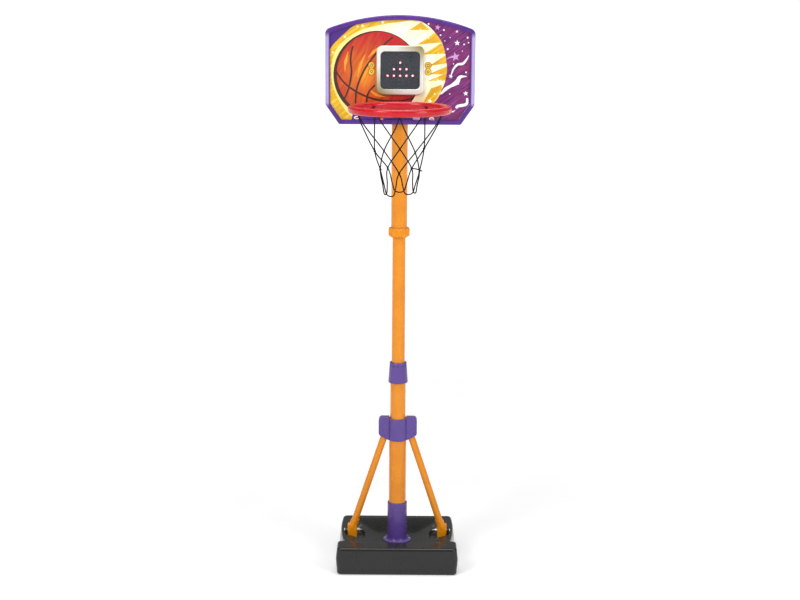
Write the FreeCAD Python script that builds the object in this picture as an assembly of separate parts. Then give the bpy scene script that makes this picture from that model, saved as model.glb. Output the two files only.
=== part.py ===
import FreeCAD, Part
import os
from math import cos, radians, sin, sqrt

# Junior basketball hoop on a telescopic pole, with a scoring display in its backboard.
# Millimetres. Origin: middle of the base's underside, on the pole's axis. +Z is up, and the hoop
# stands out along -Y, so a player stands at -Y and +X is on the player's right.

# ---------------------------------------------------------------- clearances
RUNNING = 0.3      # between pieces that move past each other
SNUG = 0.1         # between fixed pieces that fit together
SCREW_GAP = 0.1    # around a fastener's shank

# ---------------------------------------------------------------- base tank
BASE_WIDTH = 382.0
BASE_DEPTH = 330.0
BASE_HEIGHT = 87.5
BASE_WALL = 3.0
BASE_DRAFT = 4.0           # how far the walls lean in from the parting line
PARTING_HEIGHT = 50.0
FRONT_BAR_DEPTH = 84.0
REAR_INSET = 6.5           # the rear body is narrower than the front bar by this on each side
WAIST_INSET = 19.0         # the same, just behind the front bar
BACK_INSET = 11.0          # the same, at the back wall
BAR_CORNER = 17.0
STEP_CORNER = 6.0
TOP_EDGE_ROUND = 8.0
DISH_DEPTH = 26.0
DISH_FLOOR_WIDTH = 112.0
DISH_FLOOR_DEPTH = 104.0
DISH_RIM_FRONT = 62.0      # from the tank's front wall to the dish's rim
DISH_RIM_BACK = 34.0
DISH_RIM_SIDE = 46.0
POCKET_FLOOR = 70.0        # height of the floor that a brace shoe stands on
POCKET_WALL = 20.0         # tank's side wall outside the pocket
POCKET_WIDTH = 56.0
POCKET_DEPTH = 84.0
POCKET_CORNER = 26.0
LUG_THICK = 6.0            # upstand beside each pocket that the shoe's bolt goes through
LUG_WIDTH = 26.0
LUG_TOP = 104.0
LUG_ROUND = 12.5
SOCKET_FLOOR = 8.0
FILLER_HOLE_R = 14.0
FILLER_PLUG_HEAD_R = 19.0
FILLER_PLUG_HEAD = 5.0
FILLER_PLUG_DEPTH = 12.0
FILLER_Y = 140.0

# ---------------------------------------------------------------- pole
TUBE_WALL = 1.2
LOWER_R = 27.0
SECOND_R = 24.0
MIDDLE_R = 20.5
UPPER_R = 25.0
SLEEVE_WALL = 4.0
SLEEVE_TOP = 190.0
SLEEVE_FLANGE_R = 45.5
SLEEVE_FLANGE = 5.0
SLEEVE_SCREW_R = 38.0      # from the pole's axis to a flange screw
SLEEVE_SCREW_LENGTH = 14.0
SCREW_R = 1.8              # shank of every small screw
SCREW_HEAD_R = 3.4
SCREW_HEAD = 2.2
TUBE_OVERLAP = 68.0        # second tube inside the lower tube
LOCK_TOP = 648.0           # top of the lower twist-lock collar
LOCK_HEIGHT = 65.0
LOCK_TOP_R = 26.3
LOCK_BOTTOM_R = 30.8
LOCK_NOTCHES = 12
COLLET_REACH = 35.0        # collet's spigot inside the second tube
MIDDLE_EXPOSED = 401.0     # middle tube that shows between the two locks
MIDDLE_IN_SECOND = 145.0   # middle tube below the lower lock's top
MIDDLE_IN_UPPER = 160.0    # middle tube above the upper lock's bottom
RING_HEIGHT = 26.0
RING_R = 33.0
RING_LOBES = 8
GUIDE_LENGTH = 32.0

# ---------------------------------------------------------------- braces
BRACE_COLLAR_LOW = 395.0
BRACE_COLLAR_HEIGHT = 71.0
BRACE_COLLAR_R = 30.2
BRACE_WING_X = 60.5
BRACE_WING_Y = 14.5
BRACE_WING_TOP = 75.0      # wing top above the collar's bottom
BRACE_WING_LOW = 17.0      # wing's outer bottom corner above the collar's bottom
LOWER_TUBE_TOP = 45.0      # lower tube's end above the collar's bottom
BRACE_R = 11.0
BRACE_TOP_X = 39.8
BRACE_TOP_Z = 415.0
COLLAR_SCREW_R = 2.5
COLLAR_SCREW_HIGH = 58.0   # upper screws above the collar's bottom
COLLAR_SCREW_X = 47.0
BRACE_SCREW_OUT = 2.0      # brace's own screw from the top of its axis
BRACE_SCREW_DROP = 6.0
SHOE_WIDTH = 30.0
SHOE_THICK = 24.0
SHOE_HEIGHT = 44.0
SHOE_BOLT_HEIGHT = 23.0    # bolt axis above the pocket floor
SHOE_BOLT_R = 3.0
SHOE_BOLT_HEAD_R = 5.0

# ---------------------------------------------------------------- backboard
BOARD_WIDTH = 450.0
BOARD_HEIGHT = 326.0
BOARD_BOTTOM = 1397.0
BOARD_FRONT = -52.0
BOARD_DEPTH = 22.0
BOARD_TOP_DROP = 43.8      # how much lower the top edge is at the sides
CHAMFER_X = 41.0
CHAMFER_Z = 59.0
TOP_CORNER = 18.0
LOW_CORNER = 6.0
BORDER = 13.5
BORDER_RISE = 6.0
BORDER_ROUND = 5.0
PLATE = 3.0
RIB = 2.5
RIB_DEPTH = 9.0
SHEET = 0.8
SHEET_GAP = 0.4

# ---------------------------------------------------------------- display
BEZEL_WIDTH = 142.0
BEZEL_HEIGHT = 147.0
BEZEL_CORNER = 18.0
BEZEL_RISE = 12.0
BEZEL_FRONT_WALL = 4.0
WINDOW_WIDTH = 118.0
WINDOW_HEIGHT = 112.0
WINDOW_CORNER = 13.0
LENS = 2.0
PCB_WIDTH = 124.0
PCB_HEIGHT = 116.0
PCB = 1.6
HOUSING_WIDTH = 120.0
HOUSING_HEIGHT = 112.0
HOUSING_WALL = 2.0
HOUSING_BACK = -30.0
LED_R = 2.5
LED_PITCH_X = 18.8
LED_PITCH_Z = 19.4
LED_RISE = 22.5            # top lamp above the display's middle
LED_ROWS = (1, 3, 5)       # lit lamps in each row, from the top
CELL_R = 7.25
CELL_LENGTH = 50.5
BATTERY_WIDTH = 34.0
BATTERY_HEIGHT = 64.0
BATTERY_DEPTH = 17.0
BATTERY_X = 43.5
DOOR_SCREW_R = 1.4
DOOR = 2.2
SWITCH_X = -43.0
SWITCH_DROP = 30.0         # switch below the display's middle
SWITCH_TRAVEL = 5.0
SPEAKER_R = 18.0
SPEAKER_RISE = 18.0

# ---------------------------------------------------------------- hoop and net
RIM_R = 141.0              # middle of the ring's section
RIM_SECTION_WIDTH = 20.0
RIM_SECTION_HEIGHT = 22.0
RIM_ROUND = 8.0
RIM_REACH = 39.0           # gap between the ring and the backboard's sheet
RIM_RISE = 51.0            # ring's bottom above the backboard's bottom
RIM_PLATE_WIDTH = 177.0
RIM_PLATE_HEIGHT = 40.0
RIM_PLATE = 5.0
RIM_PLATE_DROP = 15.0      # plate's middle below the ring's middle
RIM_ARM_X = 84.0
RIM_ARM_WIDTH = 9.0
RIM_BOLT_X = 64.0
RIM_BOLT_SPREAD = 14.0
RIM_BOLT_R = 2.5
HOOKS = 5
HOOK_R = 1.6
HOOK_STOP = 1.8            # thickness of the disc at a hook's tip
HOOK_RISE = 6.0            # hook's axis above the ring's bottom
CORD_R = 2.0
KNOT_R = 4.0
EYE_KNOT_R = 3.4
UPPER_KNOTS_R = 76.0
UPPER_KNOTS_DROP = 107.5   # knots below the eyes' knots
LOWER_KNOTS_R = 60.0
LOWER_KNOTS_DROP = 166.5
LOOPS_R = 46.0
LOOPS_DROP = 235.5
TAIL_POINTS = (            # free end of the net's cord, from its knot outwards
    (0.0, 0.0, 0.0), (9.0, 4.0, -1.5), (19.0, 6.5, -4.5), (29.0, 10.0, -9.0),
)

# ---------------------------------------------------------------- pole mounts on the backboard
SADDLE_X = 38.0
SADDLE_EAR_X = 54.0
SADDLE_EAR = 5.0
SADDLE_HEIGHT = 48.0
SADDLE_LOW_RISE = 13.0     # lower saddle above the backboard's bottom
SADDLE_HIGH_DROP = 33.0    # upper saddle's top below the backboard's top
CLAMP_BACK = 33.0
CLAMP_BOLT_X = 31.0
CLAMP_BOLT_R = 2.5
CLAMP_SEAT = 14.0          # clamp screw's seat behind the pole's axis

# ---------------------------------------------------------------- worked-out levels
DISH_FLOOR = BASE_HEIGHT - DISH_DEPTH
SLEEVE_R = LOWER_R + SNUG + SLEEVE_WALL
LOWER_TOP = BRACE_COLLAR_LOW + LOWER_TUBE_TOP
SECOND_LOW = LOWER_TOP - TUBE_OVERLAP
SECOND_TOP = LOCK_TOP - 23.0
UPPER_LOW = LOCK_TOP + MIDDLE_EXPOSED
MIDDLE_LOW = LOCK_TOP - MIDDLE_IN_SECOND
MIDDLE_TOP = UPPER_LOW + MIDDLE_IN_UPPER
BOARD_TOP = BOARD_BOTTOM + BOARD_HEIGHT
BOARD_MIDDLE = BOARD_BOTTOM + BOARD_HEIGHT / 2
PLATE_FRONT = BOARD_FRONT + BORDER_RISE
PLATE_BACK = PLATE_FRONT + PLATE
SHEET_FRONT = PLATE_FRONT - SHEET
BEZEL_FRONT = SHEET_FRONT - BEZEL_RISE
LENS_FRONT = BEZEL_FRONT + BEZEL_FRONT_WALL
PCB_BACK = SHEET_FRONT - 0.2
PCB_FRONT = PCB_BACK - PCB
BATTERY_BACK = HOUSING_BACK + BATTERY_DEPTH
RIM_PLATE_FRONT = SHEET_FRONT - RIM_PLATE
RIM_OUTER_R = RIM_R + RIM_SECTION_WIDTH / 2
RIM_Y = SHEET_FRONT - RIM_REACH - RIM_OUTER_R
RIM_LOW = BOARD_BOTTOM + RIM_RISE
RIM_HIGH = RIM_LOW + RIM_SECTION_HEIGHT
CORD_EYE_R = HOOK_R + CORD_R + RUNNING
NET_R = RIM_R - RIM_SECTION_WIDTH / 2 - CORD_R - 1.0
HOOK_TIP_R = NET_R - CORD_R - RUNNING - HOOK_STOP
RIM_PLATE_MIDDLE = RIM_LOW + RIM_SECTION_HEIGHT / 2 - RIM_PLATE_DROP
HOOK_LEVEL = RIM_LOW + HOOK_RISE
NET_TOP = HOOK_LEVEL - CORD_EYE_R - 1.5
POLE_TOP = BOARD_TOP - 22.0
SADDLES = (
    BOARD_BOTTOM + SADDLE_LOW_RISE,
    BOARD_TOP - SADDLE_HIGH_DROP - SADDLE_HEIGHT,
)
POCKET_X = BASE_WIDTH / 2 - REAR_INSET - BASE_DRAFT - POCKET_WALL - POCKET_WIDTH / 2
SHOE_X = POCKET_X + POCKET_WIDTH / 2 - SHOE_WIDTH / 2 - 2.0
SHOE_TOP = POCKET_FLOOR + SHOE_HEIGHT
LUG_ROOT = BASE_HEIGHT - TOP_EDGE_ROUND - BASE_WALL
BRACE_LOW = (SHOE_X, SHOE_TOP - 14.0)


# ---------------------------------------------------------------- helpers
def vec(x, y, z):
    return FreeCAD.Vector(x, y, z)


def upright(radius, low, high, x=0.0, y=0.0):
    """Cylinder along Z."""
    return Part.makeCylinder(radius, high - low, vec(x, y, low))


def lying(radius, front, back, x, z):
    """Cylinder along Y."""
    return Part.makeCylinder(radius, back - front, vec(x, front, z), vec(0, 1, 0))


def tube(outer, inner, low, high):
    return upright(outer, low, high).cut(upright(inner, low - 1, high + 1))


def block(x0, x1, y0, y1, z0, z1):
    return Part.makeBox(x1 - x0, y1 - y0, z1 - z0, vec(x0, y0, z0))


def turned(profile):
    """Solid of revolution about Z from (radius, height) corners."""
    points = [vec(r, 0, z) for r, z in profile]
    face = Part.Face(Part.makePolygon(points + points[:1]))
    return face.revolve(vec(0, 0, 0), vec(0, 0, 1), 360)


def rounded_rectangle(x0, x1, y0, y1, radius, z):
    """Wire in a level plane, with a quarter arc at each corner."""
    radius = min(radius, (x1 - x0) / 2 - 0.01, (y1 - y0) / 2 - 0.01)
    corners = (
        (x1 - radius, y0 + radius, -90), (x1 - radius, y1 - radius, 0),
        (x0 + radius, y1 - radius, 90), (x0 + radius, y0 + radius, 180),
    )
    arcs = [
        Part.makeCircle(radius, vec(x, y, z), vec(0, 0, 1), start, start + 90)
        for x, y, start in corners
    ]
    edges = []
    for arc, following in zip(arcs, arcs[1:] + arcs[:1]):
        edges += [arc, Part.makeLine(arc.Vertexes[-1].Point, following.Vertexes[0].Point)]
    return Part.Wire(edges)


def stood_up(face, front, back, x=0.0, z=0.0):
    """Extrudes a level face and stands it up, so that its thickness runs along Y."""
    solid = face.extrude(vec(0, 0, back - front))
    solid.rotate(vec(0, 0, 0), vec(1, 0, 0), 90)
    solid.translate(vec(x, back, z))
    return solid


def panel(width, height, radius, front, back, x=0.0, z=0.0):
    """Upright plate with rounded corners."""
    wire = rounded_rectangle(-width / 2, width / 2, -height / 2, height / 2, radius, 0)
    return stood_up(Part.Face(wire), front, back, x, z)


def rounded_at(solid, radius, test):
    """Fillets the edges whose box passes the test."""
    return solid.makeFillet(radius, [e for e in solid.Edges if test(e.BoundBox)])


def placed(shape, position, direction):
    """Turns a shape made along +Z to point along direction, and moves it to position."""
    turn = FreeCAD.Rotation(vec(0, 0, 1), direction)
    shape.Placement = FreeCAD.Placement(position, turn)
    return shape


def screw(head_r, head, shank_r, length):
    """Pan-head screw along +Z: the head sits above z = 0 and the shank hangs below it."""
    top = rounded_at(
        Part.makeCylinder(head_r, head), head * 0.45, lambda b: b.ZMin > head - 0.01
    )
    slot = head_r * 0.25
    for wide, deep in ((head_r * 0.65, slot), (slot, head_r * 0.65)):
        top = top.cut(block(-wide, wide, -deep, deep, head * 0.5, head + 1))
    return top.fuse(Part.makeCylinder(shank_r, length, vec(0, 0, -length)))


def hex_nut(across, bore_r, thick):
    """Hexagon nut along +Z from z = 0."""
    corners = [
        vec(across / sqrt(3) * cos(radians(60 * i)), across / sqrt(3) * sin(radians(60 * i)), 0)
        for i in range(7)
    ]
    nut = Part.Face(Part.makePolygon(corners)).extrude(vec(0, 0, thick))
    return nut.cut(Part.makeCylinder(bore_r, thick + 2, vec(0, 0, -1)))


def mirrored(shape):
    return shape.mirror(vec(0, 0, 0), vec(1, 0, 0))


def both_sides(shape):
    """The shape and its mirror image across the middle plane."""
    return [shape, mirrored(shape)]


# ---------------------------------------------------------------- base
def base_plan(inset, z):
    """Tank outline at one height: a wide front bar and a narrower, slightly bulging rear body."""
    insets = (0, REAR_INSET, WAIST_INSET, BACK_INSET)
    bar, rear, waist, tail = (BASE_WIDTH / 2 - d - inset for d in insets)
    front, back = inset - BASE_DEPTH / 2, BASE_DEPTH / 2 - inset
    step = FRONT_BAR_DEPTH - BASE_DEPTH / 2 - inset
    belly = (step + back) / 2
    right = [vec(bar, front, 0), vec(bar, step, 0), vec(waist, step, 0)]
    left = [vec(-p.x, p.y, 0) for p in reversed(right)]
    side = Part.Arc(right[-1], vec(rear, belly, 0), vec(tail, back, 0)).toShape()
    other = Part.Arc(vec(-tail, back, 0), vec(-rear, belly, 0), left[0]).toShape()
    edges = [Part.makeLine(a, b) for a, b in zip(right, right[1:])] + [side]
    edges += [Part.makeLine(vec(tail, back, 0), vec(-tail, back, 0)), other]
    edges += [Part.makeLine(a, b) for a, b in zip(left, left[1:])]
    edges += [Part.makeLine(left[-1], right[0])]
    slab = Part.Face(Part.Wire(edges)).extrude(vec(0, 0, 10))

    def stands_at(b, x, y):
        return b.ZLength > 9 and abs(abs(b.Center.x) - x) < 1 and abs(b.Center.y - y) < 1

    slab = rounded_at(slab, STEP_CORNER + inset, lambda b: stands_at(b, waist, step))
    slab = rounded_at(
        slab, BAR_CORNER - inset,
        lambda b: stands_at(b, bar, front) or stands_at(b, bar, step) or stands_at(b, tail, back),
    )
    floor = next(f for f in slab.Faces if f.BoundBox.ZMax < 0.01)
    floor.translate(vec(0, 0, z))
    return floor.OuterWire


def tank_block(inset):
    """Drafted tank block: widest at the parting line, smaller by the inset all round."""
    low, high = inset, BASE_HEIGHT - inset
    sections = [
        base_plan(inset + BASE_DRAFT, low),
        base_plan(inset, PARTING_HEIGHT),
        base_plan(inset + BASE_DRAFT, high),
    ]
    return Part.makeLoft(sections, True, True)


def dish(grow):
    """Hopper in the tank's top, falling to a flat floor around the pole."""
    front, back = -BASE_DEPTH / 2 + DISH_RIM_FRONT, BASE_DEPTH / 2 - DISH_RIM_BACK
    side = BASE_WIDTH / 2 - DISH_RIM_SIDE
    floor_x, floor_y = DISH_FLOOR_WIDTH / 2, DISH_FLOOR_DEPTH / 2
    low = rounded_rectangle(
        -floor_x - grow, floor_x + grow, -floor_y - grow, floor_y + grow, 18 + grow, DISH_FLOOR - grow
    )
    high = rounded_rectangle(
        -side - grow, side + grow, front - grow, back + grow, 30 + grow, BASE_HEIGHT + 0.5
    )
    return Part.makeLoft([low, high], True, True)


def shoe_pocket(grow):
    """Recess beside the dish for a brace's shoe."""
    x, half = POCKET_X, POCKET_WIDTH / 2 + grow
    wire = rounded_rectangle(
        x - half, x + half, -POCKET_DEPTH / 2 - grow, POCKET_DEPTH / 2 + grow,
        POCKET_CORNER + grow, POCKET_FLOOR - grow,
    )
    return Part.Face(wire).extrude(vec(0, 0, BASE_HEIGHT))


def shoe_lug():
    """Upstand on the tank's top, outside a pocket, that carries the shoe's bolt."""
    x = POCKET_X + POCKET_WIDTH / 2
    lug = block(x, x + LUG_THICK, -LUG_WIDTH / 2, LUG_WIDTH / 2, LUG_ROOT, LUG_TOP)
    return rounded_at(lug, LUG_ROUND, lambda b: b.ZMin > LUG_TOP - 0.01 and b.XLength > 1)


def base_tank():
    """Blow-moulded ballast tank with a pole socket, two shoe pockets and a filler hole."""
    body = tank_block(0)
    body = rounded_at(body, TOP_EDGE_ROUND, lambda b: b.ZMin > BASE_HEIGHT - 0.01)
    body = rounded_at(body, TOP_EDGE_ROUND, lambda b: b.ZMax < 0.01)
    for lug in both_sides(shoe_lug()):
        body = body.fuse(lug)
    cavity = tank_block(BASE_WALL)
    socket = upright(LOWER_R + SNUG, SOCKET_FLOOR, BASE_HEIGHT)
    cavity = cavity.cut(dish(BASE_WALL))
    cavity = cavity.cut(upright(LOWER_R + SNUG + BASE_WALL, 0, BASE_HEIGHT))
    body = body.cut(dish(0)).cut(socket)
    for pocket, lining in zip(both_sides(shoe_pocket(0)), both_sides(shoe_pocket(BASE_WALL))):
        body = body.cut(pocket)
        cavity = cavity.cut(lining)
    bolt_z = POCKET_FLOOR + SHOE_BOLT_HEIGHT
    wall = Part.makeCylinder(
        SHOE_BOLT_R + SCREW_GAP, LUG_THICK + 2, vec(POCKET_X + POCKET_WIDTH / 2 - 1, 0, bolt_z),
        vec(1, 0, 0),
    )
    for hole in both_sides(wall):
        body = body.cut(hole)
    pilot_depth = SLEEVE_SCREW_LENGTH - SLEEVE_FLANGE + 1
    for x in (-SLEEVE_SCREW_R, SLEEVE_SCREW_R):
        pilot = upright(SCREW_R + SCREW_GAP, DISH_FLOOR - pilot_depth, BASE_HEIGHT, x)
        boss = upright(SCREW_R + BASE_WALL, DISH_FLOOR - pilot_depth - 2, BASE_HEIGHT, x)
        body = body.cut(pilot)
        cavity = cavity.cut(boss)
    body = body.cut(upright(FILLER_HOLE_R, BASE_HEIGHT - 3 * BASE_WALL, BASE_HEIGHT + 1, 0, FILLER_Y))
    return body.cut(cavity)


def filler_plug():
    """Push-in rubber plug with a gripping rib across its head."""
    head = Part.makeCylinder(FILLER_PLUG_HEAD_R, FILLER_PLUG_HEAD)
    head = rounded_at(head, 2, lambda b: b.ZMin > FILLER_PLUG_HEAD - 0.01)
    rib = block(-FILLER_PLUG_HEAD_R * 0.7, FILLER_PLUG_HEAD_R * 0.7, -2.5, 2.5, 2, FILLER_PLUG_HEAD + 6)
    rib = rounded_at(rib, 2, lambda b: b.ZMin > FILLER_PLUG_HEAD + 5.9)
    stem = Part.makeCylinder(
        FILLER_HOLE_R - RUNNING, FILLER_PLUG_DEPTH, vec(0, 0, -FILLER_PLUG_DEPTH)
    )
    plug = head.fuse(rib).fuse(stem)
    plug.translate(vec(0, FILLER_Y, BASE_HEIGHT + RUNNING))
    return plug


def pole_sleeve():
    """Flanged sleeve around the foot of the pole."""
    neck = SLEEVE_R + 2
    low, top = DISH_FLOOR, DISH_FLOOR + SLEEVE_FLANGE
    sleeve = turned([
        (LOWER_R + SNUG, low), (SLEEVE_FLANGE_R, low), (SLEEVE_FLANGE_R, top - 1.5),
        (SLEEVE_FLANGE_R - 1.5, top), (neck, top), (SLEEVE_R, top + 4),
        (SLEEVE_R, SLEEVE_TOP - 2), (SLEEVE_R - 1.5, SLEEVE_TOP), (LOWER_R + SNUG, SLEEVE_TOP),
    ])
    for x in (-SLEEVE_SCREW_R, SLEEVE_SCREW_R):
        sleeve = sleeve.cut(upright(SCREW_R + SCREW_GAP, low - 1, top + 1, x))
        sleeve = sleeve.cut(upright(SCREW_R + 3, top, top + 20, x))
    return sleeve


def sleeve_screws():
    made = []
    for x in (-SLEEVE_SCREW_R, SLEEVE_SCREW_R):
        one = screw(SCREW_HEAD_R, SCREW_HEAD, SCREW_R, SLEEVE_SCREW_LENGTH)
        made.append(placed(one, vec(x, 0, DISH_FLOOR + SLEEVE_FLANGE), vec(0, 0, 1)))
    return Part.makeCompound(made)


# ---------------------------------------------------------------- pole
def pole_lower():
    return tube(LOWER_R, LOWER_R - TUBE_WALL, SOCKET_FLOOR, LOWER_TOP)


def pole_second():
    """Second tube, with a shrink bead that seats it in the lower tube."""
    inner = SECOND_R - TUBE_WALL
    pipe = tube(SECOND_R, inner, SECOND_LOW, SECOND_TOP)
    bead_r = LOWER_R - TUBE_WALL - SNUG
    for z in (SECOND_LOW + 8, LOWER_TOP - 8):
        bead = turned([
            (inner + 0.4, z - 4), (SECOND_R, z - 4), (bead_r, z - 2), (bead_r, z + 2),
            (SECOND_R, z + 4), (inner + 0.4, z + 4),
        ])
        pipe = pipe.fuse(bead)
    return pipe


def lower_collet():
    """Split clamping bush in the second tube's mouth."""
    bore = MIDDLE_R + RUNNING
    spigot = SECOND_R - TUBE_WALL - SNUG
    low, top = SECOND_TOP - COLLET_REACH, LOCK_TOP - 5
    bush = turned([
        (bore, low), (spigot, low), (spigot, SECOND_TOP), (SECOND_R - 0.3, SECOND_TOP),
        (SECOND_R - 0.3, SECOND_TOP + 5), (bore + 2.6, SECOND_TOP + 7), (bore + 1.2, top), (bore, top),
    ])
    for turn in range(0, 180, 45):
        cut = block(-1, 1, -SECOND_R, SECOND_R, SECOND_TOP + 8, top + 1)
        cut.rotate(vec(0, 0, 0), vec(0, 0, 1), turn)
        bush = bush.cut(cut)
    return bush


def lock_collar():
    """Tapered twist-lock collar with a row of grip notches under its lip."""
    low, top = LOCK_TOP - LOCK_HEIGHT, LOCK_TOP
    inner = SECOND_R + RUNNING
    nose = MIDDLE_R + 3 * RUNNING
    lip_r = LOCK_TOP_R
    collar = turned([
        (inner, low), (LOCK_BOTTOM_R - 1, low), (LOCK_BOTTOM_R, low + 1.5), (lip_r + 0.4, top - 5),
        (lip_r + 0.4, top - 2.5), (lip_r - 0.8, top), (nose, top), (nose, top - 4),
        (MIDDLE_R + 2.3, top - 4.6), (inner, SECOND_TOP + 7.5),
    ])
    for i in range(LOCK_NOTCHES):
        notch = block(-3.6, 3.6, -LOCK_BOTTOM_R, -lip_r + 0.9, top - 12, top - 6)
        notch = rounded_at(notch, 1.6, lambda b: b.YLength > 1)
        notch.rotate(vec(0, 0, 0), vec(0, 0, 1), 360 / LOCK_NOTCHES * i)
        collar = collar.cut(notch)
    return collar


def pole_middle():
    return tube(MIDDLE_R, MIDDLE_R - TUBE_WALL, MIDDLE_LOW, MIDDLE_TOP)


def tube_guide(end, into, outer_r):
    """Plastic bush in one end of the middle tube, running inside a larger tube."""
    spigot = MIDDLE_R - TUBE_WALL - SNUG
    bore = spigot - 2.5
    z = [end, end + into * GUIDE_LENGTH / 2, end - into * GUIDE_LENGTH / 2]
    return turned([
        (bore, z[1]), (spigot, z[1]), (spigot, z[0]), (outer_r, z[0]),
        (outer_r, z[2]), (bore, z[2]),
    ])


def middle_foot_guide():
    return tube_guide(MIDDLE_LOW, 1, SECOND_R - TUBE_WALL - RUNNING)


def middle_head_guide():
    return tube_guide(MIDDLE_TOP, -1, UPPER_R - TUBE_WALL - RUNNING)


def pole_upper():
    return tube(UPPER_R, UPPER_R - TUBE_WALL, UPPER_LOW, POLE_TOP)


def upper_bush():
    """Guide bush in the upper tube's mouth, with a flange that carries the lock ring."""
    bore = MIDDLE_R + RUNNING
    spigot = UPPER_R - TUBE_WALL - SNUG
    flange = UPPER_R + 3
    return turned([
        (bore, UPPER_LOW - 3), (flange - 1, UPPER_LOW - 3), (flange, UPPER_LOW - 2),
        (flange, UPPER_LOW), (spigot, UPPER_LOW), (spigot, UPPER_LOW + GUIDE_LENGTH),
        (bore, UPPER_LOW + GUIDE_LENGTH),
    ])


def lock_ring():
    """Hand ring of the upper lock: a thick ring with shallow finger scallops."""
    low, top = UPPER_LOW + RUNNING, UPPER_LOW + RING_HEIGHT
    inner = UPPER_R + RUNNING
    ring = turned([
        (inner, low), (RING_R - 2.5, low), (RING_R, low + 2.5), (RING_R, top - 2.5),
        (RING_R - 2.5, top), (inner, top),
    ])
    scallop_r = 9.0
    for i in range(RING_LOBES):
        angle = radians(360 / RING_LOBES * (i + 0.5))
        away = RING_R + scallop_r - 2.6
        ring = ring.cut(upright(scallop_r, low - 1, top + 1, away * cos(angle), away * sin(angle)))
    return ring


def pole_cap():
    """Plug in the top of the pole."""
    spigot = UPPER_R - TUBE_WALL - SNUG
    return turned([
        (0, POLE_TOP - 14), (spigot, POLE_TOP - 14), (spigot, POLE_TOP), (UPPER_R, POLE_TOP),
        (UPPER_R, POLE_TOP + 2), (UPPER_R - 2, POLE_TOP + 4), (0, POLE_TOP + 4),
    ])


# ---------------------------------------------------------------- braces
def brace_line():
    """(top, direction) of the right brace's axis, from the collar down to the shoe."""
    top = vec(BRACE_TOP_X, 0, BRACE_TOP_Z)
    foot = vec(BRACE_LOW[0], 0, BRACE_LOW[1])
    along = foot.sub(top)
    return top, along


def brace_rod(radius, above=0.0, below=0.0):
    """Cylinder on the right brace's axis, made longer by the given amounts at its two ends."""
    top, along = brace_line()
    unit = along * (1 / along.Length)
    return Part.makeCylinder(radius, along.Length + above + below, top - unit * above, unit)


def brace():
    """Straight brace tube, cross-drilled at its top for the collar's screw."""
    bore = brace_rod(BRACE_R - TUBE_WALL, 1, 1)
    return brace_rod(BRACE_R).cut(bore).cut(brace_bolt_hole())


def brace_bolt_hole():
    x, z = collar_screw_spots()[0]
    return lying(COLLAR_SCREW_R + SCREW_GAP, -60, 60, x, z)


def collar_screw_spots():
    """The right wing's screws: one through the brace, one above it."""
    return (
        (BRACE_TOP_X + BRACE_SCREW_OUT, BRACE_TOP_Z - BRACE_SCREW_DROP),
        (COLLAR_SCREW_X, BRACE_COLLAR_LOW + COLLAR_SCREW_HIGH),
    )


def collar_outline():
    """Upright outline of the collar's two wings, right half first."""
    low, wing_x = BRACE_COLLAR_LOW, BRACE_WING_X
    top = low + BRACE_WING_TOP
    right = [
        (BRACE_COLLAR_R * 0.9, low + 1), (BRACE_COLLAR_R + 5, low + 3),
        (wing_x, low + BRACE_WING_LOW), (wing_x, top), (BRACE_COLLAR_R * 0.9, top),
    ]
    return right


def brace_collar_body():
    """Both halves of the collar in one: a barrel around the pole and a wing on each side."""
    low = BRACE_COLLAR_LOW
    high = low + BRACE_COLLAR_HEIGHT
    barrel = upright(BRACE_COLLAR_R, low, high)
    barrel = rounded_at(barrel, 1.5, lambda b: b.ZLength < 0.01)
    corners = [vec(x, z, 0) for x, z in collar_outline()]
    face = Part.Face(Part.makePolygon(corners + corners[:1]))
    wing = stood_up(face, -BRACE_WING_Y, BRACE_WING_Y)
    outer = BRACE_WING_X - 0.01
    wing = rounded_at(wing, 11, lambda b: b.YLength > 20 and b.XMin > outer)
    wing = rounded_at(wing, 3, lambda b: b.YLength < 0.01 and b.XMax > BRACE_COLLAR_R + 8)
    body = barrel.fuse(wing).fuse(mirrored(wing))
    inside = upright(LOWER_R + SNUG, low - 1, LOWER_TOP + SNUG)
    return body.cut(inside).cut(upright(SECOND_R + SNUG, low, high + 10))


def brace_collar():
    """The collar's front and rear shells, with seats for the braces and their screws."""
    body = brace_collar_body()
    for seat in both_sides(brace_rod(BRACE_R + SNUG, 1.0)):
        body = body.cut(seat)
    for x, z in collar_screw_spots():
        for hole in both_sides(lying(COLLAR_SCREW_R + SCREW_GAP, -BRACE_WING_Y + 3, 60, x, z)):
            body = body.cut(hole)
    gap = SNUG / 2
    front = body.common(block(-200, 200, -200, -gap, 0, 2000))
    rear = body.common(block(-200, 200, gap, 200, 0, 2000))
    return front, rear


def collar_screws():
    made = []
    for x, z in collar_screw_spots():
        for side in (-1, 1):
            one = screw(4.6, 3.0, COLLAR_SCREW_R, 2 * BRACE_WING_Y - 4)
            made.append(placed(one, vec(side * x, BRACE_WING_Y, z), vec(0, 1, 0)))
    return Part.makeCompound(made)


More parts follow.
